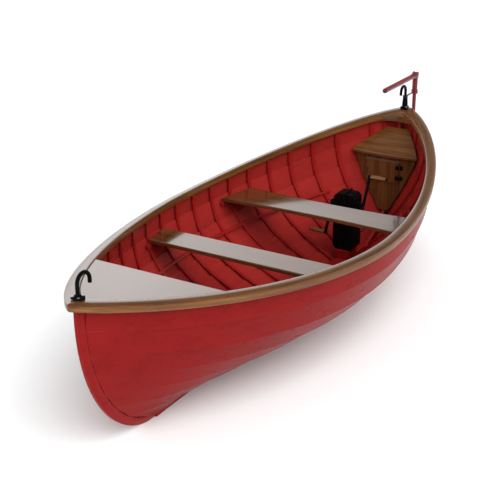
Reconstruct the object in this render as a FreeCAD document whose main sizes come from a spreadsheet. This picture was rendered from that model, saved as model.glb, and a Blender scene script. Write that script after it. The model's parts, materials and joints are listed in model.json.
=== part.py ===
import FreeCAD, Part
import Sketcher
import math
import os
import re

# Ship's boat: double ended, clinker planked, with a hand-cranked propeller, a rudder and lifting hooks.
# Frame, in millimetres: +X towards the bow, +Y to port, +Z up, origin under the keel at midship.

Vector = FreeCAD.Vector
doc = FreeCAD.newDocument("lifeboat")

# ---------------------------------------------------------------- driving sizes

SIZES = {
    # gunwale seen from above and from the side
    "rail_half_length": 2500,
    "rail_half_beam": 979,
    "bow_fullness": 1.785,
    "bow_taper": 0.823,
    "stern_fullness": 1.961,
    "stern_taper": 0.746,
    "rail_end_ratio": 1.9,
    "midship_depth": 895,
    "bow_rise": 275,
    "stern_rise": 307,
    "sheer_power": 1.95,
    # backbone
    "rabbet_base": 40,
    "keel_half_width": 29.5,
    "keel_depth": 86,
    "keel_half_length": 1698,
    "stem_face": 2440,
    "stem_foot": 1700,
    "stem_sweep": 709,
    "stem_sweep_height": 1045,
    "forefoot_power": 2.083,
    "forefoot_round": 0.541,
    "stem_depth": 55,
    "cutwater_bevel": 19,
    "cutwater_length": 42,
    "apron_depth": 70,
    "apron_half_width": 12,
    "skeg_fore": 1790,
    "skeg_aft": 2225,
    "shoe_fore": 2000,
    "shoe_aft": 2680,
    "shoe_half_width": 26,
    "shoe_thickness": 22,
    "keelson_half_length": 1560,
    "keelson_half_width": 50,
    "keelson_thickness": 40,
    # planking
    "strake_count": 7,
    "plank_inset": 42,
    "plank_thickness": 14,
    "lap_width": 28,
    "plank_gap": 0.8,
    "section_power": 2.63,
    "section_round": 1.0,
    "end_power": 1.0,
    "end_round": 1.45,
    # ribs and lengthwise timbers
    "rib_pitch": 240,
    "rib_offset": 35,
    "rib_width": 30,
    "rib_thickness": 15,
    "rib_gap": 11,
    "riser_thickness": 14,
    "riser_height": 30,
    "riser_overhang": 45,
    "stringer_height": 14,
    "stringer_thickness": 10,
    "stringer_level": 470,
    "stringer_reach": 1700,
    # rails
    "rail_depth": 68,
    "cap_thickness": 18,
    "cap_width": 80,
    "rub_rail_width": 41,
    "inwale_inset": 58,
    "inwale_depth": 50,
    # thwarts, foredeck and stern sheets
    "thwart_top": 725,
    "thwart_thickness": 32,
    "fore_thwart_front": 536,
    "fore_thwart_back": 273,
    "aft_thwart_front": -585,
    "aft_thwart_back": -885,
    "aft_thwart_flare": 36,
    "deck_edge": 1585,
    "deck_drop": 5,
    "deck_thickness": 22,
    "beam_width": 40,
    "beam_depth": 56,
    "lid_top": 860,
    "lid_thickness": 24,
    "lid_slope": 0.54,
    "lid_front": 1985,
    "lid_corner": 1998,
    "lid_back": 2300,
    "bulkhead_front": 2030,
    "bulkhead_thickness": 18,
    "bulkhead_foot": 310,
    "door_width": 330,
    "door_height": 200,
    "door_thickness": 16,
    "door_hinge_side": 145,
    "door_sill": 590,
    "door_lap": 14,
    # hand-cranked drive
    "case_centre": 1260,
    "case_length": 140,
    "case_half_width": 100,
    "case_bottom": 201,
    "case_top": 715,
    "case_bevel": 30,
    "case_wall": 7,
    "boss_radius": 34,
    "boss_end": 136,
    "crank_level": 600,
    "crank_shaft_radius": 14,
    "crank_length": 270,
    "crank_rake": 26.5,
    "arm_thickness": 16,
    "arm_width": 30,
    "grip_radius": 19,
    "grip_length": 140,
    "grip_pin_radius": 8,
    "shaft_level": 250,
    "shaft_radius": 10,
    "running_gap": 0.06,
    "propeller_centre": 2370,
    "propeller_radius": 140,
    "hub_radius": 26,
    "hub_length": 64,
    "tube_radius": 12.8,
    # rudder
    "stock_station": 2645,
    "stock_radius": 18,
    "stock_top": 1421,
    "tiller_level": 1456,
    "tiller_radius": 23,
    "sleeve_radius": 25,
    "tiller_reach": 1932,
    "tongue_half": 10,
    "tiller_boss_radius": 33,
    "tiller_pin_radius": 9,
    "blade_foot": 80,
    "blade_head": 800,
    "blade_front": 2492,
    "blade_back": 2800,
    "collar_level": 1282,
    "collar_height": 36,
    "collar_radius": 31,
    # lifting hooks
    "bow_hook_station": 2402,
    "stern_hook_station": 2427,
    "hook_rod_radius": 13,
    "bow_hook_bend": 59,
    "stern_hook_bend": 53,
    "hook_foot_half": 31,
    "hook_foot_top": 1170,
    "stern_foot_top": 1206,
    "pedestal_top": 1290,
    "bolt_radius": 5,
    "bolt_spread": 22,
}

sheet = doc.addObject("Spreadsheet::Sheet", "Sizes")
for row, (alias, number) in enumerate(SIZES.items(), start=1):
    sheet.set(f"A{row}", alias)
    sheet.set(f"B{row}", str(number))
    sheet.setAlias(f"B{row}", alias)
doc.recompute()


def size(alias):
    return float(sheet.get(alias))


# ---------------------------------------------------------------- nodes

NODES = []


def node(obj, name):
    """Labels a finished sub-part and puts it on the list that is written out."""
    obj.Label = name
    NODES.append(obj)
    return obj


def cells(text):
    """Turns bare cell names such as keel_depth / 2 into spreadsheet references."""
    return re.sub(r"\b([a-z]+(?:_[a-z]+)+)\b", r"Sizes.\1", text)


def bind(obj, **expressions):
    for prop, text in expressions.items():
        obj.setExpression(prop, cells(text))


def place(obj, x, y, z, rotation=None):
    if rotation is not None:
        obj.Placement = FreeCAD.Placement(Vector(), rotation)
    for axis, text in zip("xyz", (x, y, z)):
        obj.setExpression(f"Placement.Base.{axis}", cells(text))


TURNS = {
    "+z": FreeCAD.Rotation(),
    "-z": FreeCAD.Rotation(Vector(1, 0, 0), 180),
    "+x": FreeCAD.Rotation(Vector(0, 1, 0), 90),
    "-x": FreeCAD.Rotation(Vector(0, 1, 0), -90),
    "+y": FreeCAD.Rotation(Vector(1, 0, 0), -90),
    "-y": FreeCAD.Rotation(Vector(1, 0, 0), 90),
}


def block(name, length, width, height, x, y, z, rotation=None):
    box = doc.addObject("Part::Box", name)
    bind(box, Length=length, Width=width, Height=height)
    place(box, x, y, z, rotation)
    return box


def rod(name, radius, length, x, y, z, along="+z"):
    cylinder = doc.addObject("Part::Cylinder", name)
    bind(cylinder, Radius=radius, Height=length)
    place(cylinder, x, y, z, TURNS[along])
    return cylinder


def taper(name, first_radius, last_radius, length, x, y, z, along="+z"):
    cone = doc.addObject("Part::Cone", name)
    bind(cone, Radius1=first_radius, Radius2=last_radius, Height=length)
    place(cone, x, y, z, TURNS[along])
    return cone


def ball(name, radius, x, y, z):
    sphere = doc.addObject("Part::Sphere", name)
    bind(sphere, Radius=radius)
    place(sphere, x, y, z)
    return sphere


def fuse(name, *pieces):
    union = doc.addObject("Part::MultiFuse", name)
    union.Shapes = list(pieces)
    union.Refine = True
    return union


def cut(name, base, *tools):
    result = doc.addObject("Part::Cut", name)
    result.Base = base
    result.Tool = tools[0] if len(tools) == 1 else fuse(f"{name}_tools", *tools)
    return result


def solid(name, shape):
    """A sub-part whose shape is worked out below from the sheet's sizes."""
    feature = doc.addObject("Part::Feature", name)
    where = shape.Placement
    feature.Shape = shape
    feature.Placement = where
    return feature


def group(shapes):
    return Part.makeCompound(shapes)


def mirrored(shape):
    return shape.mirror(Vector(0, 0, 0), Vector(0, 1, 0))


def spline(points):
    curve = Part.BSplineCurve()
    curve.interpolate([Vector(*p) for p in points])
    return curve.toShape()


def polygon(points):
    corners = [Vector(*p) for p in points]
    return Part.makePolygon(corners + corners[:1])


def prism(points, depth):
    """A straight-sided solid: the closed outline pushed along the depth vector."""
    return Part.Face(polygon(points)).extrude(Vector(*depth))


# ---------------------------------------------------------------- hull lines

HALF_LENGTH = size("rail_half_length")
TOP_STRAKE_DROP = size("cap_thickness") + 3


def rail_breadth(x, inset=0.0):
    """Half breadth of the gunwale outline, or of an outline that lies inset inside it."""
    end = "bow" if x > 0 else "stern"
    reach = HALF_LENGTH - size("rail_end_ratio") * inset
    run = min(abs(x) / reach, 1.0)
    fullness = size(f"{end}_fullness")
    return (size("rail_half_beam") - inset) * (1 - run**fullness) ** size(f"{end}_taper")


def rail_tip(inset):
    return HALF_LENGTH - size("rail_end_ratio") * inset


def sheer(x):
    rise = size("bow_rise") if x > 0 else size("stern_rise")
    return size("midship_depth") + rise * (abs(x) / HALF_LENGTH) ** size("sheer_power")


def stem_station(z, setback, foot):
    """How far from midship the stem's profile is at height z; setback and foot give the rabbet."""
    top = size("stem_sweep_height")
    drop = min(max((top - z) / (top - foot), 0.0), 1.0)
    bend = 1 - (1 - drop ** size("forefoot_power")) ** size("forefoot_round")
    return size("stem_face") - setback - size("stem_sweep") * bend


def rabbet_station(z):
    return stem_station(z, size("stem_depth"), size("rabbet_base"))


def sweep_height(station, setback, foot):
    """Height of the stem's profile at a station: level along the keel, then up the sweep."""
    top = size("stem_sweep_height")
    run = (size("stem_face") - setback - station) / size("stem_sweep")
    if run >= 1:
        return foot
    rest = (1 - max(run, 0.0)) ** (1 / size("forefoot_round"))
    return top - (top - foot) * (1 - rest) ** (1 / size("forefoot_power"))


def rabbet_height(x):
    return sweep_height(abs(x), size("stem_depth"), size("rabbet_base"))


def half_breadth(x, z):
    """Half breadth of the moulded hull at station x and height z."""
    foot = rabbet_height(x)
    head = sheer(x) - size("rail_depth")
    rise = min(max((z - foot) / (head - foot), 0.0), 1.0)
    fine = (abs(x) / HALF_LENGTH) ** 3
    power = size("section_power") + (size("end_power") - size("section_power")) * fine
    rounding = size("section_round") + (size("end_round") - size("section_round")) * fine
    flare = (1 - (1 - rise) ** power) ** rounding
    inner = size("keel_half_width") + 1
    return inner + (rail_breadth(x, size("plank_inset")) - inner) * flare


def unit(y, z):
    length = math.hypot(y, z)
    return y / length, z / length


def inboard(x, z, depth):
    """Half breadth at height z of a surface depth inside the moulded hull, and the way up along it."""
    reach = 4.0
    low = max(z - reach, rabbet_height(x))
    high = z + reach
    up = unit(half_breadth(x, high) - half_breadth(x, low), high - low)
    return half_breadth(x, z) - depth / up[1], up


# ---------------------------------------------------------------- strakes

SECTION_STEPS = 240
STATION_STEPS = 12
LEAST_TONGUE = 2.6


def midship_levels():
    """Heights at midship that share the girth equally between the strakes."""
    low = size("rabbet_base")
    high = sheer(0) - TOP_STRAKE_DROP
    heights = [low + (high - low) * (i / SECTION_STEPS) ** 2 for i in range(SECTION_STEPS + 1)]
    girth = [0.0]
    for below, above in zip(heights, heights[1:]):
        girth.append(girth[-1] + math.hypot(half_breadth(0, above) - half_breadth(0, below), above - below))
    count = int(size("strake_count"))
    levels = []
    for i in range(count + 1):
        wanted = girth[-1] * i / count
        k = max(j for j in range(SECTION_STEPS) if girth[j] <= wanted + 1e-6)
        share = (wanted - girth[k]) / (girth[k + 1] - girth[k])
        levels.append(heights[k] + (heights[k + 1] - heights[k]) * min(share, 1.0))
    return levels


LEVELS = midship_levels()
LOWEST_END = 62
END_SPACING = 1.25


def strake_end(i, end):
    """Station and height where seam i meets the stem or the sternpost."""
    top_station = size("stem_face") - size("stem_depth")
    top = sheer(end * top_station) - TOP_STRAKE_DROP
    share = (i / size("strake_count")) ** END_SPACING
    z = LOWEST_END + (top - LOWEST_END) * share
    return rabbet_station(z), z


def seam_point(i, along):
    """Seam i at along, from -1 at the sternpost to 1 at the stem, as (x, y, z)."""
    end = 1 if along > 0 else -1
    station, end_height = strake_end(i, end)
    x = along * station
    if i == 0:
        z = rabbet_height(x)
    else:
        z = LEVELS[i] + (end_height - LEVELS[i]) * abs(along) ** size("sheer_power")
    return x, half_breadth(x, z), z


def lap_share(along):
    """1 where the planks overlap in full, almost 0 where the laps run flush into stem and sternpost."""
    return 0.92 - 0.84 * abs(along) ** 6


def foot_share(i, along):
    """Like lap_share, but the lowest strake stands clear of the keel until it reaches the stem."""
    if i > 0:
        return lap_share(along)
    return 1 - 0.92 * max(0.0, (abs(along) - 0.955) / 0.045) ** 2


def moved(point, *steps):
    """A 3-D point moved by (distance, (x, y, z)) steps."""
    return tuple(c + sum(distance * step[k] for distance, step in steps) for k, c in enumerate(point))


def strake_section(i, along):
    """Closed outline of strake i: its foot, outer head, shoulder, and the tongue under the next strake."""
    thickness = size("plank_thickness")
    gap = size("plank_gap")
    low = seam_point(i, along)
    high = seam_point(i + 1, along)
    slope = (high[0] - low[0]) / (high[2] - low[2])
    up = unit(high[1] - low[1], high[2] - low[2])
    out = (-slope * up[0], up[1], -up[0])
    sunk = (1 - foot_share(i, along)) * thickness
    foot = moved(low, (-sunk, out))
    points = [foot, moved(foot, (thickness, out))]
    if i == int(size("strake_count")) - 1:
        return points + [high, moved(high, (-thickness, out))]
    above = strake_section(i + 1, along)
    share = lap_share(along)
    rise = [b - a for a, b in zip(above[0], above[-1])]
    length = math.hypot(rise[1], rise[2])
    rise = tuple(c / length for c in rise)
    inward = (0.0, -rise[2], rise[1])
    points.append(moved(high, (-gap, rise)))
    points.append(moved(above[0], (-gap, rise), (gap, inward)))
    points.append(moved(above[0], (size("lap_width") * share, rise), (gap, inward)))
    points.append(moved(points[-1], (max(share * thickness, LEAST_TONGUE), inward)))
    if abs(along) == 1:
        points = [(low[0] + slope * (z - low[2]), y, z) for _, y, z in points]
    return points


def strake(i):
    stations = [math.sin(math.pi / 2 * j / STATION_STEPS) for j in range(-STATION_STEPS, STATION_STEPS + 1)]
    return Part.makeLoft([polygon(strake_section(i, along)) for along in stations], True, False)


for number in range(int(size("strake_count"))):
    plank = strake(number)
    node(solid(f"StrakePort{number}", plank), f"strake_{number + 1}_port")
    node(solid(f"StrakeStarboard{number}", mirrored(plank)), f"strake_{number + 1}_starboard")

# ---------------------------------------------------------------- backbone

POST_STEPS = 14
POST_TOP_GAP = 1.5
REVEAL = 1.0


def sweep(setback, foot, start):
    """Points up the stem's curve as (x, z), from a station near the foot to the head of the sweep."""
    top = size("stem_sweep_height")
    first = math.acos((top - sweep_height(start, setback, foot)) / (top - foot))
    points = []
    for i in range(POST_STEPS + 1):
        angle = first + (math.pi / 2 - first) * i / POST_STEPS
        z = top - (top - foot) * math.cos(angle)
        points.append((stem_station(z, setback, foot), z))
    return points


def timber(face, back, foot, end, half):
    """Solid between two curves up the stem, closed by the foot points, its head just under the rails."""
    heads = [(x, sheer(end * x) - size("rail_depth") - POST_TOP_GAP) for x in (face[-1][0], back[-1][0])]
    edges = [spline([(x, 0, z) for x, z in line]) for line in (face, back)]
    for run in ([face[-1]] + heads + [back[-1]], [back[0]] + foot + [face[0]]):
        edges += [Part.makeLine(Vector(a[0], 0, a[1]), Vector(b[0], 0, b[1])) for a, b in zip(run, run[1:])]
    shape = Part.Face(Part.Wire(Part.__sortEdges__(edges))).extrude(Vector(0, 2 * half, 0))
    shape.translate(Vector(0, -half, 0))
    return shape


def cutwater(timber_shape):
    """The timber with its outer face narrowed to a cutwater."""
    face = size("stem_face")
    long_edges = [e for e in timber_shape.Edges if e.BoundBox.ZLength > size("stem_depth") / 2]
    edges = [e for e in long_edges if abs(e.BoundBox.XMax - face) < REVEAL]
    return timber_shape.makeChamfer(size("cutwater_bevel"), size("cutwater_length"), edges)


def post(end):
    """Stem timber: full width outside the rabbet, and a narrow apron between the plank ends."""
    start = size("stem_foot")
    depth = size("stem_depth")
    face = sweep(0.0, 0.0, size("stem_face") - size("stem_sweep"))
    rabbet = sweep(depth - REVEAL, size("rabbet_base") - REVEAL, start)
    wide = timber(face, rabbet, [(start, 0.0)], end, size("keel_half_width"))
    if end > 0:
        wide = cutwater(wide)
    step = size("keel_depth") + REVEAL
    back = sweep(depth + size("apron_depth"), step, start - 2 * REVEAL - 40)
    core = sweep(0.4 * depth, 0.6 * size("rabbet_base"), start + 60)
    shoulder = [(back[0][0], step), (start + REVEAL, step), (start + REVEAL, 1.4 * size("rabbet_base"))]
    narrow = timber(core, back, shoulder, end, size("apron_half_width"))
    return wide.fuse(narrow).removeSplitter()


SHAFT_BORE = "tube_radius + 0.1"

block("KeelTimber", "2 * keel_half_length", "2 * keel_half_width", "keel_depth",
      "-keel_half_length", "-keel_half_width", "0")
node(doc.getObject("KeelTimber"), "keel")
node(solid("Stem", post(1)), "stem")

stern_timber = post(-1).mirror(Vector(0, 0, 0), Vector(1, 0, 0))
stern_bore = rod("SternBore", SHAFT_BORE, "600", "-2400", "0", "shaft_level", "+x")
node(cut("Sternpost", solid("SternTimber", stern_timber), stern_bore), "sternpost")


def skeg_shape():
    """Deadwood that fills the curve under the sternpost and carries the shaft's last stretch."""
    clear = REVEAL
    aft = size("skeg_aft")
    fore = size("skeg_fore")
    notch = size("shoe_thickness") + 0.5

    def under_post(station):
        return sweep_height(station - clear, 0.0, 0.0) - clear

    stations = [aft + (fore - aft) * i / POST_STEPS for i in range(POST_STEPS + 1)]
    curve = spline([(-s, 0, under_post(s)) for s in stations])
    corners = [
        Vector(-fore, 0, under_post(fore)),
        Vector(-fore, 0, 0),
        Vector(-size("shoe_fore"), 0, 0),
        Vector(-size("shoe_fore"), 0, notch),
        Vector(-aft, 0, notch),
        Vector(-aft, 0, under_post(aft)),
    ]
    wire = Part.Wire([curve] + [Part.makeLine(a, b) for a, b in zip(corners, corners[1:])])
    half = size("keel_half_width")
    skeg = Part.Face(wire).extrude(Vector(0, 2 * half, 0))
    skeg.translate(Vector(0, -half, 0))
    return skeg


skeg_bore = rod("SkegBore", SHAFT_BORE, "600", "-2400", "0", "shaft_level", "+x")
node(cut("Skeg", solid("SkegTimber", skeg_shape()), skeg_bore), "skeg")

shoe_bar = block("ShoeBar", "shoe_aft - shoe_fore - 1", "2 * shoe_half_width", "shoe_thickness",
                 "-shoe_aft", "-shoe_half_width", "0")
shoe_boss = rod("ShoeBoss", "shoe_half_width + 4", "2 * shoe_thickness", "-stock_station", "0", "0")
shoe_bore = rod("ShoeBore", "stock_radius - 4 + running_gap", "2 * shoe_thickness", "-stock_station", "0",
                "shoe_thickness / 2")
node(cut("HeelShoe", fuse("ShoeForging", shoe_bar, shoe_boss), shoe_bore), "heel_shoe")

node(block("Keelson", "2 * keelson_half_length", "2 * keelson_half_width", "keelson_thickness",
           "-keelson_half_length", "-keelson_half_width", "keel_depth + 0.5"), "keelson")

# ---------------------------------------------------------------- ribs, risers and stringers

RIB_STEPS = 9
RIB_STATIONS = range(-8, 9)
STERN_RIBS = (-2190, -2290)
RIB_FOOT = 58
RIB_HEAD_GAP = 8


def inside_curve(x, depth, foot_breadth, lowest, head):
    """Points up the inside of the planking at station x, from the keelson's side to the height head."""
    low = lowest
    while inboard(x, low, depth)[0] < foot_breadth:
        low += 1.0
    heights = [low + (head - low) * (i / RIB_STEPS) ** 1.6 for i in range(RIB_STEPS + 1)]
    return [(inboard(x, z, depth)[0], z) for z in heights]


def rib_section(x, head):
    clear = size("plank_thickness") + size("rib_gap")
    outer = inside_curve(x, clear, RIB_FOOT, rabbet_height(x), head)
    inner = inside_curve(x, clear + size("rib_thickness"), RIB_FOOT, rabbet_height(x), head)
    edges = [spline([(x, y, z) for y, z in line]) for line in (outer, inner)]
    edges.append(Part.makeLine(Vector(x, *outer[0]), Vector(x, *inner[0])))
    edges.append(Part.makeLine(Vector(x, *outer[-1]), Vector(x, *inner[-1])))
    return Part.Wire(Part.__sortEdges__([edges[0], edges[3], edges[1], edges[2]]))


def rib(x):
    half = size("rib_width") / 2
    head = min(sheer(x - half), sheer(x + half)) - size("inwale_depth") - RIB_HEAD_GAP
    return Part.makeLoft([rib_section(x - half, head), rib_section(x + half, head)], True, True)


rib_places = [size("rib_offset") + size("rib_pitch") * k for k in RIB_STATIONS]
ribs = [rib(x) for x in (*rib_places, *STERN_RIBS)]
node(solid("Ribs", group(ribs + [mirrored(r) for r in ribs])), "ribs")

TIMBER_STEPS = 8
BATTEN_GAP = 1.5


def lengthwise_timber(aft, fore, level, height, thickness):
    """A batten with level top and bottom that runs from aft to fore along the inner faces of the ribs."""
    depth = size("plank_thickness") + size("rib_gap") + size("rib_thickness") + BATTEN_GAP
    half = height / 2
    sections = []
    for i in range(2 * TIMBER_STEPS + 1):
        x = aft + (fore - aft) * i / (2 * TIMBER_STEPS)
        low, high = (level(x) + side * half for side in (-1, 1))
        corners = [(x, inboard(x, z, depth)[0], z) for z in (low, high)]
        corners += [(x, inboard(x, z, depth)[0] - thickness, z) for z in (high, low)]
        sections.append(polygon(corners))
    return Part.makeLoft(sections, True, False)


def riser_level(x):
    return size("thwart_top") - size("thwart_thickness") - size("riser_height") / 2 - 1.5


def stringer_level(x):
    return size("stringer_level") + 60 * (x / size("stringer_reach")) ** 2


risers = []
for seat in ("fore", "aft"):
    back = size(f"{seat}_thwart_back") - size("riser_overhang")
    front = size(f"{seat}_thwart_front") + size("riser_overhang")
    cleat = lengthwise_timber(back, front, riser_level, size("riser_height"), size("riser_thickness"))
    risers += [cleat, mirrored(cleat)]
node(solid("Risers", group(risers)), "thwart_risers")
reach = size("stringer_reach")
stringer = lengthwise_timber(-reach, reach, stringer_level, size("stringer_height"), size("stringer_thickness"))
node(solid("Stringers", group([stringer, mirrored(stringer)])), "bilge_stringers")

# ---------------------------------------------------------------- rails

PLAN_STEPS = 20
SHEER_STEPS = 24
SIDE_GAP = 0.3
TALL = 1500.0


def plan_line(inset, first, last, shift):
    """Curve of a rail outline seen from above, between two stations, with its points closest at the ends."""
    middle = (first + last) / 2
    half = (last - first) / 2
    points = []
    for i in range(-PLAN_STEPS, PLAN_STEPS + 1):
        x = middle + half * math.sin(math.pi / 2 * i / PLAN_STEPS)
        points.append((x, rail_breadth(x, inset) + shift, 0))
    return points


def sheer_band(top_drop, bottom_drop):
    """Everything between two surfaces that follow the sheer, right across the boat."""
    reach = HALF_LENGTH + 60
    stations = [reach * i / SHEER_STEPS for i in range(-SHEER_STEPS, SHEER_STEPS + 1)]
    top = [(x, -TALL, sheer(x) - top_drop) for x in stations]
    bottom = [(x, -TALL, sheer(x) - bottom_drop) for x in stations]
    sides = [Part.makeLine(Vector(*top[k]), Vector(*bottom[k])) for k in (0, -1)]
    wire = Part.Wire(Part.__sortEdges__([spline(top), sides[1], spline(bottom), sides[0]]))
    return Part.Face(wire).extrude(Vector(0, 2 * TALL, 0))


def rail(outer_inset, inner_inset, top_drop, bottom_drop):
    """Port half of a rail that runs from the stern's tip to the bow's between two insets."""
    outer = plan_line(outer_inset, -rail_tip(outer_inset), rail_tip(outer_inset), SIDE_GAP)
    inner = plan_line(inner_inset, -rail_tip(inner_inset), rail_tip(inner_inset), SIDE_GAP)
    ends = [Part.makeLine(Vector(*outer[k]), Vector(*inner[k])) for k in (0, -1)]
    wire = Part.Wire(Part.__sortEdges__([spline(outer), ends[1], spline(inner), ends[0]]))
    ring = Part.Face(wire).extrude(Vector(0, 0, TALL))
    return ring.common(sheer_band(top_drop, bottom_drop))


def both_sides(name, label, shape, *tools):
    port = solid(f"{name}Port", shape)
    starboard = solid(f"{name}Starboard", mirrored(shape))
    if tools:
        port = cut(f"{name}PortDrilled", port, *tools)
        starboard = cut(f"{name}StarboardDrilled", starboard, *tools)
    node(port, f"{label}_port")
    node(starboard, f"{label}_starboard")


HOOKS = {"bow": ("bow_hook_station", 1), "stern": ("-stern_hook_station", -1)}


def bolt_places(end):
    station, _ = HOOKS[end]
    corners = [(fore, side) for fore in (-1, 1) for side in (-1, 1)]
    return [(f"{station} + {fore} * bolt_spread", f"{side} * bolt_spread") for fore, side in corners]


def bolt_holes(name):
    holes = []
    for end, base in (("bow", "1100"), ("stern", "1120")):
        for k, (x, y) in enumerate(bolt_places(end)):
            holes.append(rod(f"{name}{end}{k}", "bolt_radius + 0.2", "120", x, y, base))
    return holes


both_sides("RubRail", "rub_rail",
           rail(0, size("rub_rail_width"), size("cap_thickness") + 0.5, size("rail_depth")))
both_sides("Cap", "gunwale_cap", rail(0, size("cap_width"), 0, size("cap_thickness")), *bolt_holes("CapHole"))
both_sides("Inwale", "inwale",
           rail(size("inwale_inset"), size("cap_width"), size("cap_thickness") + 0.5, size("inwale_depth")))

# ---------------------------------------------------------------- foredeck and thwarts

EDGE_GAP = 1.5


def deck_shape():
    """Triangular foredeck between the two gunwale caps, following the sheer."""
    inset = size("cap_width") + EDGE_GAP
    edge = size("deck_edge")
    tip = rail_tip(inset)
    side = [(edge, rail_breadth(edge, inset), 0)]
    for i in range(1, PLAN_STEPS + 1):
        x = edge + (tip - edge) * math.sin(math.pi / 2 * i / PLAN_STEPS)
        side.append((x, rail_breadth(x, inset), 0))
    other = [(x, -y, z) for x, y, z in side]
    across = Part.makeLine(Vector(*side[0]), Vector(*other[0]))
    plan = Part.Face(Part.Wire(Part.__sortEdges__([spline(side), across, spline(other)])))
    drop = size("deck_drop")
    return plan.extrude(Vector(0, 0, TALL)).common(sheer_band(drop, drop + size("deck_thickness")))


node(solid("Foredeck", deck_shape()), "foredeck")

BEAM_SET_IN = 30


def beam_shape():
    """Beam under the foredeck's after edge, its ends sloped to the flare of the sides."""
    edge = size("deck_edge")
    aft = edge + 6
    fore = aft + size("beam_width")
    top = sheer(edge) - size("deck_drop") - size("deck_thickness") - 4
    low = top - size("beam_depth")
    wide = rail_breadth(fore, size("cap_width")) - 2 * EDGE_GAP
    narrow = wide - BEAM_SET_IN
    corners = [(aft, -wide, top), (aft, wide, top), (aft, narrow, low), (aft, -narrow, low)]
    return prism(corners, (size("beam_width"), 0, 0))


node(solid("DeckBeam", beam_shape()), "deck_beam")

BOARD_CLEARANCE = 5


def board_half(x, z):
    """Half length of a board that reaches from rib face to rib face."""
    depth = size("plank_thickness") + size("rib_gap") + size("rib_thickness")
    return inboard(x, z, depth)[0] - BOARD_CLEARANCE


def thwart(front, back, flare):
    """Seat plank across the boat; its long edges sweep out by flare at both ends."""
    low = size("thwart_top") - size("thwart_thickness")
    ends = [(front + flare, board_half(front + flare, low)), (back - flare, board_half(back - flare, low))]
    edges = []
    for (x, y), middle in zip(ends, (front, back)):
        if flare:
            quarter = middle + (x - middle) * 0.3
            swept = [(x, -y), (quarter, -0.6 * y), (middle, 0), (quarter, 0.6 * y), (x, y)]
            edges.append(spline([(along, across, low) for along, across in swept]))
        else:
            edges.append(Part.makeLine(Vector(x, -y, low), Vector(x, y, low)))
    for side in (-1, 1):
        edges.append(Part.makeLine(Vector(ends[0][0], side * ends[0][1], low),
                                   Vector(ends[1][0], side * ends[1][1], low)))
    face = Part.Face(Part.Wire(Part.__sortEdges__(edges)))
    return face.extrude(Vector(0, 0, size("thwart_thickness")))


node(solid("ForwardThwart", thwart(size("fore_thwart_front"), size("fore_thwart_back"), 0)), "forward_thwart")
node(solid("AftThwart", thwart(size("aft_thwart_front"), size("aft_thwart_back"), size("aft_thwart_flare"))),
     "aft_thwart")

# ---------------------------------------------------------------- stern sheets

LID_STEPS = 6
LID_DROP = size("lid_thickness") * math.hypot(1, size("lid_slope"))


def lid_level(x):
    """Height of the locker lid's top, which rises towards the sternpost."""
    return size("lid_top") + size("lid_slope") * (-x - size("lid_front"))


def lid_shape():
    """Sloping triangular top of the stern locker, its front edge gently bowed."""
    corner = -size("lid_corner")
    back = -size("lid_back")
    side = []
    for i in range(LID_STEPS + 1):
        x = corner + (back - corner) * i / LID_STEPS
        side.append((x, board_half(x, lid_level(x) - LID_DROP), 0))
    other = [(x, -y, z) for x, y, z in side]
    front = Part.Arc(Vector(*side[0]), Vector(-size("lid_front"), 0, 0), Vector(*other[0])).toShape()
    tail = Part.makeLine(Vector(*side[-1]), Vector(*other[-1]))
    plan = Part.Face(Part.Wire(Part.__sortEdges__([spline(side), front, spline(other), tail])))
    ends = (back - LID_DROP, corner + LID_DROP * 2)
    slab = [(x, -TALL / 2, lid_level(x)) for x in ends]
    slab += [(x, -TALL / 2, lid_level(x) - LID_DROP) for x in reversed(ends)]
    return plan.extrude(Vector(0, 0, TALL)).common(prism(slab, (0, TALL, 0)))


node(solid("LockerLid", lid_shape()), "locker_lid")


def bulkhead_shape():
    """Panel under the locker's lid, cut to the inside of the planking."""
    front = -size("bulkhead_front")
    back = front - size("bulkhead_thickness")
    head = lid_level(front) - LID_DROP - 1
    curve = inside_curve(back, size("plank_thickness") + size("rib_gap"), 0.0, size("bulkhead_foot"), head)
    port = [(back, y, z) for y, z in curve]
    starboard = [(back, -y, z) for y, z in curve]
    ends = [Part.makeLine(Vector(*port[k]), Vector(*starboard[k])) for k in (0, -1)]
    wire = Part.Wire(Part.__sortEdges__([spline(port), ends[1], spline(starboard), ends[0]]))
    return Part.Face(wire).extrude(Vector(size("bulkhead_thickness"), 0, 0))


door_opening = block("DoorOpening", "100", "door_width - 2 * door_lap", "door_height - 2 * door_lap",
                     "-bulkhead_front - 50", "door_hinge_side - door_width + door_lap",
                     "door_sill + door_lap")
node(cut("Bulkhead", solid("BulkheadPanel", bulkhead_shape()), door_opening), "stern_bulkhead")

node(block("LockerDoor", "door_thickness", "door_width", "door_height", "-bulkhead_front + 0.5",
           "door_hinge_side - door_width", "door_sill"), "locker_door")

DOOR_FACE = "-bulkhead_front + door_thickness + 0.5"
pull_grip = rod("PullGrip", "4", "64", f"{DOOR_FACE} + 20", "door_hinge_side - door_width + 26",
                "door_sill + door_height / 2 - 32")
pull_feet = [rod(f"PullFoot{k}", "4", "20", DOOR_FACE, "door_hinge_side - door_width + 26",
                 f"door_sill + door_height / 2 + {offset}", "+x") for k, offset in enumerate((-24, 24))]
node(fuse("DoorHandle", pull_grip, *pull_feet), "door_handle")


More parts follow.
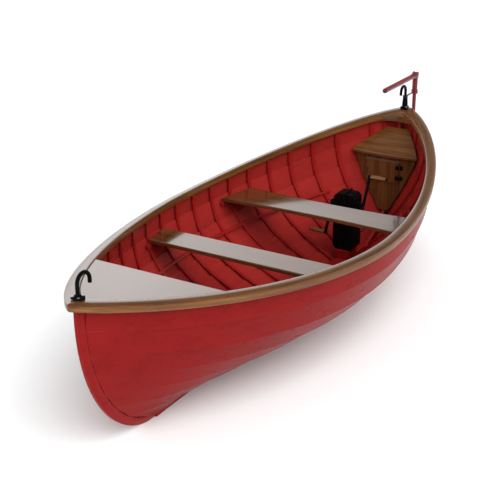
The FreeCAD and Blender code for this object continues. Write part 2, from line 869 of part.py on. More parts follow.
def breasthook_shape():
    """Knee that ties the inwales together under the stern's cap."""
    inset = size("cap_width") + EDGE_GAP
    tip = rail_tip(inset)
    front = tip - 100
    side = [(-front, rail_breadth(-front, inset), 0)]
    for i in range(1, LID_STEPS + 1):
        x = -front - (tip - front) * math.sin(math.pi / 2 * i / LID_STEPS)
        side.append((x, rail_breadth(x, inset), 0))
    other = [(x, -y, z) for x, y, z in side]
    hollow = Part.Arc(Vector(*side[0]), Vector(-front - 30, 0, 0), Vector(*other[0])).toShape()
    plan = Part.Face(Part.Wire(Part.__sortEdges__([spline(side), hollow, spline(other)])))
    band = sheer_band(size("cap_thickness") - 12, size("inwale_depth") + 4)
    return plan.extrude(Vector(0, 0, TALL)).common(band)


node(solid("SternBreasthook", breasthook_shape()), "stern_breasthook")

# ---------------------------------------------------------------- lifting hooks

def under_rail():
    """Everything below the top of the gunwale cap, used to bed the hooks' feet on its slope."""
    return solid("UnderRail", sheer_band(0, 900))


def sketch(body, name, plane, geometry):
    drawing = body.newObject("Sketcher::SketchObject", name)
    origin = [f for f in body.Origin.OriginFeatures if f.Role == plane][0]
    drawing.AttachmentSupport = [(origin, "")]
    drawing.MapMode = "FlatFace"
    drawing.addGeometry(geometry, False)
    return drawing


def hook_rod(name, station, inward, base, bend, tip_drop, top):
    """Round bar that stands up, bends over inboard in a half circle and ends in a short straight point."""
    body = doc.addObject("PartDesign::Body", name)
    centre = top - bend - size("hook_rod_radius")
    origin = Vector(0, 0, 0)
    line = Part.LineSegment(origin, Vector(0, centre - base, 0))
    arc = Part.Arc(Vector(0, centre - base, 0), Vector(bend * inward, centre - base + bend, 0),
                   Vector(2 * bend * inward, centre - base, 0))
    point = Part.LineSegment(Vector(2 * bend * inward, centre - base, 0),
                             Vector(2 * bend * inward, centre - base - tip_drop, 0))
    path = sketch(body, f"{name}Path", "XZ_Plane", [line, arc, point])
    section = sketch(body, f"{name}Section", "XY_Plane",
                     [Part.Circle(origin, Vector(0, 0, 1), size("hook_rod_radius"))])
    constraint = Sketcher.Constraint("Radius", 0, size("hook_rod_radius"))
    constraint.Name = "rod_radius"
    section.addConstraint(constraint)
    section.setExpression("Constraints.rod_radius", "Sizes.hook_rod_radius")
    pipe = body.newObject("PartDesign::AdditivePipe", f"{name}Pipe")
    pipe.Profile = section
    pipe.Spine = (path, ["Edge1", "Edge2", "Edge3"])
    body.Tip = pipe
    body.Placement = FreeCAD.Placement(Vector(station, 0, base), FreeCAD.Rotation())
    return body


BOW_HOOK_TOP = 1314
STERN_HOOK_TOP = 1420
BOW_POINT = 24
STERN_POINT = 22

bow_rod = hook_rod("BowHookRod", size("bow_hook_station"), -1, size("hook_foot_top") - 2,
                   size("bow_hook_bend"), BOW_POINT, BOW_HOOK_TOP)
bow_foot = block("BowHookFoot", "2 * hook_foot_half", "2 * hook_foot_half", "80",
                 "bow_hook_station - hook_foot_half", "-hook_foot_half", "hook_foot_top - 80")
bow_collar = taper("BowHookCollar", "hook_rod_radius + 9", "hook_rod_radius", "16", "bow_hook_station", "0",
                   "hook_foot_top")
bow_holes = [rod(f"BowHookHole{k}", "bolt_radius + 0.2", "200", x, y, "1050")
             for k, (x, y) in enumerate(bolt_places("bow"))]
bow_forging = fuse("BowHookForging", bow_rod, bow_foot, bow_collar)
node(cut("BowHook", bow_forging, under_rail(), *bow_holes), "bow_hook")

stern_rod = hook_rod("SternHookRod", -size("stern_hook_station"), 1, size("pedestal_top") - 4,
                     size("stern_hook_bend"), STERN_POINT, STERN_HOOK_TOP)
stern_foot = block("SternHookFoot", "2 * hook_foot_half", "2 * hook_foot_half", "80",
                   "-stern_hook_station - hook_foot_half", "-hook_foot_half", "stern_foot_top - 80")
pedestal = taper("SternPedestal", "hook_foot_half - 3", "hook_rod_radius + 9",
                 "pedestal_top - stern_foot_top", "-stern_hook_station", "0", "stern_foot_top")
stern_holes = [rod(f"SternHookHole{k}", "bolt_radius + 0.2", "200", x, y, "1050")
               for k, (x, y) in enumerate(bolt_places("stern"))]
stern_pockets = [rod(f"SternPocket{k}", "2 * bolt_radius + 1", "60", x, y, "stern_foot_top")
                 for k, (x, y) in enumerate(bolt_places("stern"))]
stern_forging = fuse("SternHookForging", stern_rod, stern_foot, pedestal)
node(cut("SternHook", stern_forging, under_rail(), *stern_holes, *stern_pockets), "stern_hook")


def hook_bolt(x, y, seat):
    """Hexagon-headed bolt through a hook's foot and the gunwale cap."""
    radius = size("bolt_radius")
    shank_length = seat - sheer(x) + size("cap_thickness") - 1
    across = 1.75 * radius
    head = [(x + across * math.cos(math.radians(60 * k)), y + across * math.sin(math.radians(60 * k)), seat)
            for k in range(6)]
    shank = Part.makeCylinder(radius, shank_length, Vector(x, y, seat - shank_length))
    return shank.fuse(prism(head, (0, 0, 1.2 * radius)))


def bolt_set(end, seat):
    station = size("bow_hook_station") if end > 0 else -size("stern_hook_station")
    spread = size("bolt_spread")
    return [hook_bolt(station + i * spread, j * spread, seat) for i in (-1, 1) for j in (-1, 1)]


BOLT_SEAT = 0.05
node(solid("HookBolts", group(bolt_set(1, size("hook_foot_top") + BOLT_SEAT)
                              + bolt_set(-1, size("stern_foot_top") + BOLT_SEAT))), "hook_bolts")

# ---------------------------------------------------------------- hand-cranked drive

SPLIT = 0.2


def case_outline(grow, low, high, bevel):
    """Port half of the case's section across the boat, shrunk or grown by an even margin."""
    half = size("case_half_width") + grow
    return [(0, SPLIT, low), (0, half - bevel, low), (0, half, low + bevel), (0, half, high - bevel),
            (0, half - bevel, high), (0, SPLIT, high)]


def along_x(points, start, length):
    return prism([(start, y, z) for _, y, z in points], (length, 0, 0))


UPPER_CHAMBER = 446
LOWER_CHAMBER = 404
CHAMBER_RADIUS = 70
CRANK_AXIS = Vector(-size("case_centre"), 0, size("crank_level"))


def case_half():
    """Port casting: a hollow half box with a bearing web between the two gear chambers."""
    wall = size("case_wall")
    start = -size("case_centre") - size("case_length") / 2
    bevel = size("case_bevel")
    shell = along_x(case_outline(0, size("case_bottom"), size("case_top"), bevel), start, size("case_length"))
    across = Vector(0, 1, 0)
    boss = Part.makeCylinder(size("boss_radius"), size("boss_end"), CRANK_AXIS, across)
    half_block = 1.5 * size("boss_radius")
    corner = CRANK_AXIS - Vector(half_block, SPLIT, half_block)
    boss = boss.cut(Part.makeBox(2 * half_block, 2 * SPLIT, 2 * half_block, corner))
    inner_start = start + wall
    inner_length = size("case_length") - 2 * wall
    upper_outline = case_outline(-wall, UPPER_CHAMBER, size("case_top") - wall, bevel)
    lower_outline = case_outline(-wall, size("case_bottom") + wall, LOWER_CHAMBER, bevel)
    upper = along_x(upper_outline, inner_start, inner_length)
    lower = along_x(lower_outline, inner_start, inner_length)
    hollow = upper.fuse(lower)
    room_length = size("case_half_width") - wall
    room = Part.makeCylinder(CHAMBER_RADIUS, room_length, CRANK_AXIS, across).common(hollow)
    casting = shell.fuse(boss.cut(room)).cut(hollow)
    gap = size("running_gap")
    reach = 1.5 * size("boss_end")
    crank_start = CRANK_AXIS - Vector(0, reach, 0)
    crank_bore = Part.makeCylinder(size("crank_shaft_radius") + gap, 2 * reach, crank_start, across)
    web_foot = Vector(-size("case_centre"), 0, LOWER_CHAMBER - wall)
    web = UPPER_CHAMBER - LOWER_CHAMBER + 2 * wall
    upright_bore = Part.makeCylinder(size("shaft_radius") + gap, web, web_foot)
    tail_start = Vector(start - wall, 0, size("shaft_level"))
    tail_bore = Part.makeCylinder(size("shaft_radius") + gap, 3 * wall, tail_start, Vector(1, 0, 0))
    return casting.cut(crank_bore).cut(upright_bore).cut(tail_bore).removeSplitter()


case = case_half()
node(solid("CasePort", case), "gear_case_port")
node(solid("CaseStarboard", mirrored(case)), "gear_case_starboard")
node(block("GearBearer", "case_length + 40", "120", "case_bottom - keel_depth - keelson_thickness - 1.5",
           "-case_centre - case_length / 2 - 20", "-60", "keel_depth + keelson_thickness + 1"), "gear_bearer")


GEAR_CLEARANCE = 0.9
TOOTH_ROOT_SHARE = 0.29
TOOTH_TIP_SHARE = 0.13
TOOTH_SINK = 0.8


def bevel_gear(teeth, radius, mate_radius, addendum, mate_addendum, hub_radius, hub_end, bore, phase):
    """Straight bevel gear about +Z, its pitch cone's apex at the origin and its back at z = mate_radius."""
    root = radius - (radius * mate_addendum / (mate_radius + mate_addendum) + GEAR_CLEARANCE)
    tip = radius + addendum
    inner = 1 - FACE_SHARE
    body = Part.makeCone(root * inner, root, mate_radius * FACE_SHARE, Vector(0, 0, mate_radius * inner))
    pitch = 2 * math.pi * radius / teeth
    half_root = TOOTH_ROOT_SHARE * pitch
    half_tip = TOOTH_TIP_SHARE * pitch
    base = root - TOOTH_SINK
    for k in range(teeth):
        angle = 2 * math.pi * (k + phase) / teeth
        across = (-math.sin(angle), math.cos(angle))
        outward = (math.cos(angle), math.sin(angle))
        wires = []
        for scale in (inner, 1.0):
            corners = []
            for r, w in ((base, -half_root), (tip, -half_tip), (tip, half_tip), (base, half_root)):
                x, y = (r * o + w * a for o, a in zip(outward, across))
                corners.append((scale * x, scale * y, scale * mate_radius))
            wires.append(polygon(corners))
        body = body.fuse(Part.makeLoft(wires, True, True))
    hub = Part.makeCylinder(hub_radius, hub_end - mate_radius * inner, Vector(0, 0, mate_radius * inner))
    body = body.fuse(hub)
    if bore:
        body = body.cut(Part.makeCylinder(bore, 4 * hub_end, Vector(0, 0, -hub_end)))
    return body.removeSplitter()


def set_down(shape, along, x, y, z):
    """Turns a gear made about +Z so that it points along an axis, with its apex at x, y, z."""
    turned = shape.copy()
    turned.Placement = FreeCAD.Placement(Vector(x, y, z), TURNS[along]).multiply(turned.Placement)
    return turned


CRANK_TEETH = 32
UPPER_PINION_TEETH = 16
LOWER_GEAR_TEETH = 24
SHAFT_PINION_TEETH = 12
CRANK_GEAR_RADIUS = 50.0
UPPER_PINION_RADIUS = 25.0
LOWER_GEAR_RADIUS = 40.0
SHAFT_PINION_RADIUS = 20.0
FACE_SHARE = 0.32
LARGE_ADDENDUM = 3.2
SMALL_ADDENDUM = 1.6
centre_x = -size("case_centre")
crank_z = size("crank_level")
shaft_z = size("shaft_level")

crank_wheel = bevel_gear(CRANK_TEETH, CRANK_GEAR_RADIUS, UPPER_PINION_RADIUS, LARGE_ADDENDUM, SMALL_ADDENDUM,
                         24, 46, size("crank_shaft_radius"), 0.0)
upper_pinion = bevel_gear(UPPER_PINION_TEETH, UPPER_PINION_RADIUS, CRANK_GEAR_RADIUS, SMALL_ADDENDUM,
                          LARGE_ADDENDUM, 17, 72, size("shaft_radius"), 0.5)
lower_wheel = bevel_gear(LOWER_GEAR_TEETH, LOWER_GEAR_RADIUS, SHAFT_PINION_RADIUS, LARGE_ADDENDUM,
                         SMALL_ADDENDUM, 22, 44, size("shaft_radius"), 0.0)
shaft_pinion = bevel_gear(SHAFT_PINION_TEETH, SHAFT_PINION_RADIUS, LOWER_GEAR_RADIUS, SMALL_ADDENDUM,
                          LARGE_ADDENDUM, size("shaft_radius"), 60, 0, 0.5)

node(rod("CrankShaft", "crank_shaft_radius", "2 * boss_end + 44", "-case_centre", "-boss_end - 22",
         "crank_level", "+y"), "crank_shaft")
node(solid("CrankGear", set_down(crank_wheel, "+y", centre_x, 0, crank_z)), "crank_gear")
node(rod("UprightShaft", "shaft_radius", "294", "-case_centre", "0", "shaft_level + 16"), "upright_shaft")
node(solid("UprightGears", group([
    set_down(upper_pinion, "-z", centre_x, 0, crank_z),
    set_down(lower_wheel, "+z", centre_x, 0, shaft_z),
])), "upright_gears")

pinion_head = solid("PinionHead", set_down(shaft_pinion, "-x", centre_x, 0, shaft_z))
shaft_bar = rod("ShaftBar", "shaft_radius", "propeller_centre - case_centre - 30", "-case_centre - 50", "0",
                "shaft_level", "-x")
node(fuse("PropellerShaft", pinion_head, shaft_bar), "propeller_shaft")

tube = rod("TubeWall", "tube_radius", "290", "-2240", "0", "shaft_level", "+x")
gland = rod("TubeGland", "22", "34", "-1955", "0", "shaft_level", "+x")
tube_bore = rod("TubeBore", "shaft_radius + running_gap", "400", "-2300", "0", "shaft_level", "+x")
node(cut("SternTube", fuse("TubeCasting", tube, gland), tube_bore), "stern_tube")


def crank_arm(name, label, side):
    """Flat crank arm from the shaft's end to the grip's pin, with a round boss at each end."""
    turn = -size("crank_rake") if side > 0 else 180 - size("crank_rake")
    rotation = FreeCAD.Rotation(Vector(0, 1, 0), turn)
    inner_face = "boss_end + 1.5" if side > 0 else "-boss_end - 1.5 - arm_thickness"
    bar = doc.addObject("Part::Box", f"{name}Bar")
    bind(bar, Length="arm_width", Width="arm_thickness", Height="crank_length")
    corner = rotation.multVec(Vector(-size("arm_width") / 2, 0, 0))
    bar.Placement = FreeCAD.Placement(Vector(), rotation)
    place(bar, f"-case_centre + {corner.x}", inner_face, f"crank_level + {corner.z}", rotation)
    hub = rod(f"{name}Hub", "crank_shaft_radius + 13", "arm_thickness", "-case_centre", inner_face,
              "crank_level", "+y")
    end = rotation.multVec(Vector(0, 0, 1))
    pin_x = f"-case_centre + {end.x} * crank_length"
    pin_z = f"crank_level + {end.z} * crank_length"
    eye = rod(f"{name}Eye", "arm_width / 2 + 4", "arm_thickness", pin_x, inner_face, pin_z, "+y")
    outward = "+y" if side > 0 else "-y"
    pin_start = "boss_end + 1.5" if side > 0 else "-boss_end - 1.5"
    pin_length = "arm_thickness + grip_length + 4"
    pin = rod(f"{name}Pin", "grip_pin_radius", pin_length, pin_x, pin_start, pin_z, outward)
    last = "boss_end + arm_thickness + grip_length + 3.5"
    head_start = last if side > 0 else f"-({last})"
    head = rod(f"{name}PinHead", "grip_pin_radius + 5", "6", pin_x, head_start, pin_z, outward)
    blank = fuse(f"{name}Forging", bar, hub, eye, pin, head)
    bore = rod(f"{name}Bore", "crank_shaft_radius", "600", "-case_centre", "-300", "crank_level", "+y")
    node(cut(name, blank, bore), label)
    return end


GRIP_ROOT = 0.78
GRIP_TIP = 0.74


def grip(name, label, side, end):
    """Turned wooden grip, fattest in the middle, free to turn on the crank's pin."""
    length = size("grip_length")
    radius = size("grip_radius")
    bore = size("grip_pin_radius") + size("running_gap")
    body = doc.addObject("PartDesign::Body", f"{name}Body")
    root = Vector(GRIP_ROOT * radius, 0, 0)
    tip = Vector(GRIP_TIP * radius, length, 0)
    outer = Part.BSplineCurve()
    outer.interpolate([root, Vector(radius, length / 2, 0), tip])
    outline = sketch(body, f"{name}Outline", "XZ_Plane", [
        Part.LineSegment(Vector(bore, 0, 0), root),
        outer,
        Part.LineSegment(tip, Vector(bore, length, 0)),
        Part.LineSegment(Vector(bore, length, 0), Vector(bore, 0, 0)),
    ])
    turned = body.newObject("PartDesign::Revolution", f"{name}Revolution")
    turned.Profile = outline
    turned.ReferenceAxis = (outline, ["V_Axis"])
    turned.Angle = 360
    body.Tip = turned
    start = size("boss_end") + 1.5 + size("arm_thickness") + 1.0
    reach = size("crank_length")
    place_at = Vector(centre_x + end.x * reach, side * start, crank_z + end.z * reach)
    body.Placement = FreeCAD.Placement(place_at, TURNS["+y" if side > 0 else "-y"])
    return node(body, label)


port_end = crank_arm("CrankArmPort", "crank_arm_port", 1)
starboard_end = crank_arm("CrankArmStarboard", "crank_arm_starboard", -1)
grip("GripPort", "grip_port", 1, port_end)
grip("GripStarboard", "grip_starboard", -1, starboard_end)

BLADE_COUNT = 3
# share of the radius, chord, pitch angle and thickness, from root to tip
BLADE_SECTIONS = ((0.16, 46, 58, 9), (0.4, 78, 38, 7), (0.7, 86, 26, 5), (0.98, 34, 20, 3))


def propeller_shape():
    """Three twisted blades on a boss, about +X, centred on the origin."""
    half = size("hub_length") / 2
    hub = Part.makeCylinder(size("hub_radius"), size("hub_length"), Vector(-half, 0, 0), Vector(1, 0, 0))
    nose = Part.makeCone(size("hub_radius"), 8, 26, Vector(-half, 0, 0), Vector(-1, 0, 0))
    body = hub.fuse(nose)
    for k in range(BLADE_COUNT):
        wires = []
        for share, chord, angle, thick in BLADE_SECTIONS:
            a = math.radians(angle)
            along = (math.sin(a), math.cos(a))
            across = (math.cos(a), -math.sin(a))
            corners = []
            for c, w in ((-chord / 2, 0), (0, -thick / 2), (chord / 2, 0), (0, thick / 2)):
                x, y = (c * p + w * q for p, q in zip(along, across))
                corners.append((x, y, share * size("propeller_radius")))
            wires.append(polygon(corners))
        blade = Part.makeLoft(wires, True, False)
        blade.rotate(Vector(0, 0, 0), Vector(1, 0, 0), 360 * k / BLADE_COUNT)
        body = body.fuse(blade)
    bore = Part.makeCylinder(size("shaft_radius"), half + 30, Vector(-20, 0, 0), Vector(1, 0, 0))
    return body.cut(bore).removeSplitter()


screw = propeller_shape()
screw.translate(Vector(-size("propeller_centre"), 0, shaft_z))
node(solid("Propeller", screw), "propeller")

# ---------------------------------------------------------------- rudder

PINTLE_RADIUS = "stock_radius - 4"
pintle = rod("Pintle", PINTLE_RADIUS, "shoe_thickness * 1.5 + 8", "-stock_station", "0",
             "shoe_thickness / 2 + 0.4")
stem_bar = rod("StockBar", "stock_radius", "stock_top - 2 * shoe_thickness - 1", "-stock_station", "0",
               "2 * shoe_thickness + 1")
tongue_neck = block("TongueNeck", "2 * stock_radius - 4", "2 * tongue_half", "tiller_level - stock_top",
                    "-stock_station - stock_radius + 2", "-tongue_half", "stock_top")
tongue_eye = rod("TongueEye", "tiller_boss_radius - 5", "2 * tongue_half", "-stock_station", "-tongue_half",
                 "tiller_level", "+y")
tongue_bore = rod("TongueBore", "tiller_pin_radius", "100", "-stock_station", "-50", "tiller_level", "+y")
sleeve = rod("StockSleeve", "sleeve_radius", "stock_top - collar_level - collar_height - 5",
             "-stock_station", "0", "collar_level + collar_height + 2")
stock_forging = fuse("StockForging", pintle, stem_bar, sleeve, tongue_neck, tongue_eye)
node(cut("RudderStock", stock_forging, tongue_bore), "rudder_stock")


def blade_shape():
    """Balanced rudder blade: a streamlined section cut to a rounded outline."""
    front = -size("blade_front")
    back = -size("blade_back")
    stock = -size("stock_station")
    low = size("blade_foot")
    high = size("blade_head")
    foil = [(front, 0, 0), (front - 12, 13, 0), (stock + 40, 27, 0), (stock - 30, 28, 0), (back, 5, 0)]
    other = [(x, -y, z) for x, y, z in foil]
    tail = Part.makeLine(Vector(*foil[-1]), Vector(*other[-1]))
    plan = Part.Face(Part.Wire(Part.__sortEdges__([spline(foil), tail, spline(other)])))
    deep = plan.extrude(Vector(0, 0, high + 100))
    sweep = spline([(stock - 45, -100, low), (stock - 92, -100, low + 190), (back + 6, -100, low + 430),
                    (back + 18, -100, high - 70), (stock - 90, -100, high)])
    outline = [(stock - 90, high), (front, high - 60), (front, low), (stock - 45, low)]
    corners = [(x, -100, z) for x, z in outline]
    sides = [Part.makeLine(Vector(*a), Vector(*b)) for a, b in zip(corners, corners[1:])]
    side = Part.Face(Part.Wire(Part.__sortEdges__([sweep] + sides))).extrude(Vector(0, 200, 0))
    return deep.common(side)


stock_bore = rod("StockBore", "stock_radius", "stock_top", "-stock_station", "0", "0")
node(cut("RudderBlade", solid("BladeBoard", blade_shape()), stock_bore), "rudder_blade")

CHEEK_GAP = 0.3
tiller_bar = rod("TillerBar", "tiller_radius", "stock_station - tiller_reach - tiller_radius - 40",
                 "-stock_station + 40", "0", "tiller_level", "+x")
tiller_end = ball("TillerEnd", "tiller_radius", "-tiller_reach - tiller_radius", "0", "tiller_level")
tiller_root = taper("TillerRoot", "tiller_radius + 7", "tiller_radius", "70", "-stock_station + 28", "0",
                    "tiller_level", "+x")
tiller_boss = rod("TillerBoss", "tiller_boss_radius", "48", "-stock_station", "-24", "tiller_level", "+y")
tongue_slot = block("TongueSlot", "2 * tiller_boss_radius + 2", f"2 * tongue_half + {2 * CHEEK_GAP}", "200",
                    "-stock_station - tiller_boss_radius - 2", f"-tongue_half - {CHEEK_GAP}",
                    "tiller_level - 100")
tiller_bore = rod("TillerBore", "tiller_pin_radius + running_gap", "100", "-stock_station", "-50",
                  "tiller_level", "+y")
node(cut("Tiller", fuse("TillerForging", tiller_bar, tiller_end, tiller_root, tiller_boss), tongue_slot,
         tiller_bore), "tiller")

pin_bar = rod("PinBar", "tiller_pin_radius", "52", "-stock_station", "-26", "tiller_level", "+y")
pin_heads = [rod(f"PinHead{k}", "tiller_pin_radius + 5", "5", "-stock_station", start, "tiller_level", "+y")
             for k, start in enumerate(("-31", "26"))]
node(fuse("TillerPin", pin_bar, *pin_heads), "tiller_pin")

collar = rod("CollarRing", "collar_radius", "collar_height", "-stock_station", "0", "collar_level")
collar_bore = rod("CollarBore", "stock_radius + running_gap", "200", "-stock_station", "0",
                  "collar_level - 50")
stay = rod("StayBar", "7.5", "stock_station - stern_hook_station - 44", "-stock_station + collar_radius - 6",
           "0", "collar_level + collar_height / 2", "+x")
stay_ring = rod("StayRing", "hook_rod_radius + 11", "16", "-stern_hook_station", "0",
                "collar_level + collar_height / 2 - 8")
stay_bore = rod("StayBore", "hook_rod_radius + 0.1", "200", "-stern_hook_station", "0", "collar_level - 80")
node(cut("StockBracket", fuse("BracketForging", collar, stay, stay_ring), collar_bore, stay_bore),
     "stock_bracket")

# ---------------------------------------------------------------- checks and files

doc.recompute()
for obj in doc.Objects:
    bad = [state for state in obj.State if state in ("Invalid", "Error")]
    if bad:
        raise RuntimeError(f"{obj.Name} failed: {bad}")
for obj in NODES:
    if obj.Shape.isNull() or not obj.Shape.isValid():
        raise RuntimeError(f"{obj.Label} has no valid shape")
    if not obj.Shape.Solids:
        raise RuntimeError(f"{obj.Label} has no solid")

os.makedirs("parts", exist_ok=True)
for obj in NODES:
    obj.Shape.exportStep(f"parts/{obj.Label}.step")
print(f"{len(NODES)} sub-parts written")
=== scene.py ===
import json
import math

import bmesh
import bpy
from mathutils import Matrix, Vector
from mathutils.bvhtree import BVHTree

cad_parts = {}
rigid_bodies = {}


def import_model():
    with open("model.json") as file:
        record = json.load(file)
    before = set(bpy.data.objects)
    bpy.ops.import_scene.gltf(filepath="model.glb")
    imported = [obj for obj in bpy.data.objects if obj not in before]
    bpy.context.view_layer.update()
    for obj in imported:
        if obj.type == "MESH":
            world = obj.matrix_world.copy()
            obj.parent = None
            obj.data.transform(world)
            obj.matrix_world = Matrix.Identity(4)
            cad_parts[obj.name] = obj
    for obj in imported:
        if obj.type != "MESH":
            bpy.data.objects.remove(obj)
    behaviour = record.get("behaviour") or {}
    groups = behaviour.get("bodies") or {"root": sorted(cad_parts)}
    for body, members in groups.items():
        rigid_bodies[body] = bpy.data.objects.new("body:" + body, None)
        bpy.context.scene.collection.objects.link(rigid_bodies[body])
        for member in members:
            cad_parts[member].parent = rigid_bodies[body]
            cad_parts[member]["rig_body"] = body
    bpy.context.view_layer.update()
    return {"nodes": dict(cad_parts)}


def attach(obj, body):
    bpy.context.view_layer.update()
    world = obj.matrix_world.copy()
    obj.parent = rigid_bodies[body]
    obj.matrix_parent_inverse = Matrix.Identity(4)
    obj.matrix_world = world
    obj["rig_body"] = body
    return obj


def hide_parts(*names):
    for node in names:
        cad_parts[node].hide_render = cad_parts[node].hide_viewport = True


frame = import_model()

# The bow is towards +X, the port side towards +Y. Lengths are in metres unless a comment says
# otherwise.
NODES = frame["nodes"]
HULL = NODES["ribs"]["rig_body"]
DOOR = NODES["locker_door"]["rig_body"]
FORWARD = Vector((1.0, 0.0, 0.0))
PORT = Vector((0.0, 1.0, 0.0))
UP = Vector((0.0, 0.0, 1.0))

# ---------------------------------------------------------------- the gunwale's line
HALF_LENGTH = 2.5
HALF_BEAM = 0.979
DEPTH = 0.895
SHEER_POWER = 1.95
BOW_RISE = 0.275
STERN_RISE = 0.307
# Powers of the plan curve: how full it is amidships, and how it closes at the end.
BOW_SHAPE = (1.785, 0.823)
STERN_SHAPE = (1.961, 0.746)
# A line inside the gunwale ends this many times its inset short of the gunwale's end.
END_INSETS = 1.9


def sheer(x):
    """Height of the gunwale at a station."""
    rise = BOW_RISE if x > 0 else STERN_RISE
    return DEPTH + rise * (abs(x) / HALF_LENGTH) ** SHEER_POWER


def rail_breadth(x, inset):
    """Half breadth, at a station, of a line that lies inset inside the gunwale."""
    fullness, taper = BOW_SHAPE if x > 0 else STERN_SHAPE
    run = min(abs(x) / (HALF_LENGTH - END_INSETS * inset), 1.0)
    return (HALF_BEAM - inset) * (1 - run**fullness) ** taper


# ---------------------------------------------------------------- materials
def scaled(colour, factor):
    """A colour made darker or lighter."""
    return tuple(min(c * factor, 1.0) for c in colour)


def shades(colour, steps):
    """Ramp stops in shades of one colour, from (position, factor) pairs."""
    return [(position, scaled(colour, factor)) for position, factor in steps]


def fill_ramp(ramp, stops):
    """Sets a colour ramp's stops, each a position and a colour, in rising order."""
    elements = ramp.elements
    for element, (position, colour) in zip(tuple(elements), (stops[0], stops[-1])):
        element.position = position
        element.color = (*colour, 1.0)
    for position, colour in stops[1:-1]:
        elements.new(position).color = (*colour, 1.0)


class Finish:
    """A material and the calls that build its nodes."""

    def __init__(self, name, **sockets):
        self.material = bpy.data.materials.new(name)
        self.material.use_nodes = True
        self.nodes = self.material.node_tree.nodes
        self.links = self.material.node_tree.links
        self.shader = self.nodes["Principled BSDF"]
        for socket, value in sockets.items():
            self.shader.inputs[socket.replace("_", " ")].default_value = value
        self.place = self.add("TexCoord").outputs["Object"]

    def add(self, kind, inputs=(), **settings):
        """A new node; inputs maps each socket to a value or to the socket that feeds it."""
        node = self.nodes.new(f"ShaderNode{kind}")
        for key, value in settings.items():
            setattr(node, key, value)
        for key, value in dict(inputs).items():
            if isinstance(value, bpy.types.NodeSocket):
                self.links.new(value, node.inputs[key])
            else:
                node.inputs[key].default_value = value
        return node

    def math(self, operation, *values):
        return self.add("Math", enumerate(values), operation=operation).outputs[0]

    def axes(self, vector):
        return self.add("SeparateXYZ", {0: vector}).outputs

    def noise(self, stretch, detail=5.0, roughness=0.6, distortion=0.0, place=None, shift=0.0):
        """Noise whose features are 1 / stretch metres long on each axis."""
        inputs = {"Vector": place or self.place, "Scale": stretch, "Location": (shift,) * 3}
        mapping = self.add("Mapping", inputs)
        inputs = {
            "Vector": mapping.outputs[0],
            "Scale": 1.0,
            "Detail": detail,
            "Roughness": roughness,
            "Distortion": distortion,
        }
        return self.add("TexNoise", inputs).outputs["Fac"]

    def remap(self, value, low, high, to_low=0.0, to_high=1.0):
        inputs = {0: value, 1: low, 2: high, 3: to_low, 4: to_high}
        return self.add("MapRange", inputs).outputs[0]

    def ramp(self, value, *stops):
        node = self.add("ValToRGB", {0: value})
        fill_ramp(node.color_ramp, stops)
        return node.outputs[0]

    def mix(self, factor, first, second):
        """Blends two colours, each a socket or a tuple."""
        inputs = {0: factor}
        for socket, value in ((6, first), (7, second)):
            inputs[socket] = (*value, 1.0) if isinstance(value, tuple) else value
        return self.add("Mix", inputs, data_type="RGBA").outputs[2]

    def edges(self, radius):
        """0 on flat surfaces, up to 1 on edges sharper than radius."""
        bevel = self.add("Bevel", {"Radius": radius}, samples=4)
        flat = self.add("NewGeometry").outputs["Normal"]
        inputs = {0: bevel.outputs[0], 1: flat}
        dot = self.add("VectorMath", inputs, operation="DOT_PRODUCT").outputs["Value"]
        return self.remap(dot, 1.0, 0.8)

    def wear(self, body, colour, strength, radius, stretch, shift, reach):
        """Lets colour show through body on its edges, in patches."""
        edges = self.edges(radius)
        patches = self.remap(self.noise((stretch,) * 3, shift=shift), *reach)
        worn = self.math("MULTIPLY", edges, patches)
        return self.mix(self.math("MULTIPLY", worn, strength), body, colour)

    def inboard_painted_light(self):
        """1 on faces that look up or towards the middle of the boat, 0 on the others: where a
        paint's lighter copy stands in for light (painted light).
        """
        y = self.axes(self.place)[1]
        _, across, up = self.axes(self.add("TexCoord").outputs["Normal"])
        outward = self.math("MULTIPLY", across, self.math("SIGN", y))
        return self.math("GREATER_THAN", self.math("SUBTRACT", up, outward), 0.0)

    def rail_place(self):
        """Coordinates that follow the gunwale: its plan curve and its sheer are taken out."""
        x, y, z = self.axes(self.place)
        run = self.math("DIVIDE", self.math("ABSOLUTE", x), HALF_LENGTH)
        fullness, taper = ((bow + stern) / 2 for bow, stern in zip(BOW_SHAPE, STERN_SHAPE))
        full = self.math("SUBTRACT", 1.0, self.math("POWER", run, fullness))
        breadth = self.math("POWER", self.math("MAXIMUM", full, 0.0), taper)
        out = self.math("MULTIPLY", breadth, HALF_BEAM)
        lift = self.math("POWER", run, SHEER_POWER)
        rise = self.math("MULTIPLY", lift, (BOW_RISE + STERN_RISE) / 2)
        across = self.math("SUBTRACT", self.math("ABSOLUTE", y), out)
        inputs = {0: x, 1: across, 2: self.math("SUBTRACT", z, rise)}
        return self.add("CombineXYZ", inputs).outputs[0]

    def bumps(self, *layers):
        """Layers of (height, strength, distance), one over the other."""
        normal = None
        for height, strength, distance in layers:
            inputs = {"Height": height, "Strength": strength, "Distance": distance}
            if normal:
                inputs["Normal"] = normal
            normal = self.add("Bump", inputs).outputs[0]
        self.links.new(normal, self.shader.inputs["Normal"])

    def done(self, colour, roughness):
        self.links.new(colour, self.shader.inputs["Base Color"])
        self.links.new(roughness, self.shader.inputs["Roughness"])
        return self.material


PAINT_STEPS = ((0.3, 0.8), (0.5, 1.0), (0.7, 1.14))
PAINT_ROUGH = (0.22, 0.38)
WORN_PAINT = (0.5, 0.13, 0.11)
TIMBER_DARK = (0.075, 0.024, 0.006)
TIMBER_STOPS = ((0.32, TIMBER_DARK), (0.5, (0.17, 0.064, 0.017)), (0.68, (0.27, 0.115, 0.035)))
WORN_TIMBER = (0.42, 0.25, 0.12)
IRON_STEPS = ((0.35, 0.7), (0.65, 1.35))


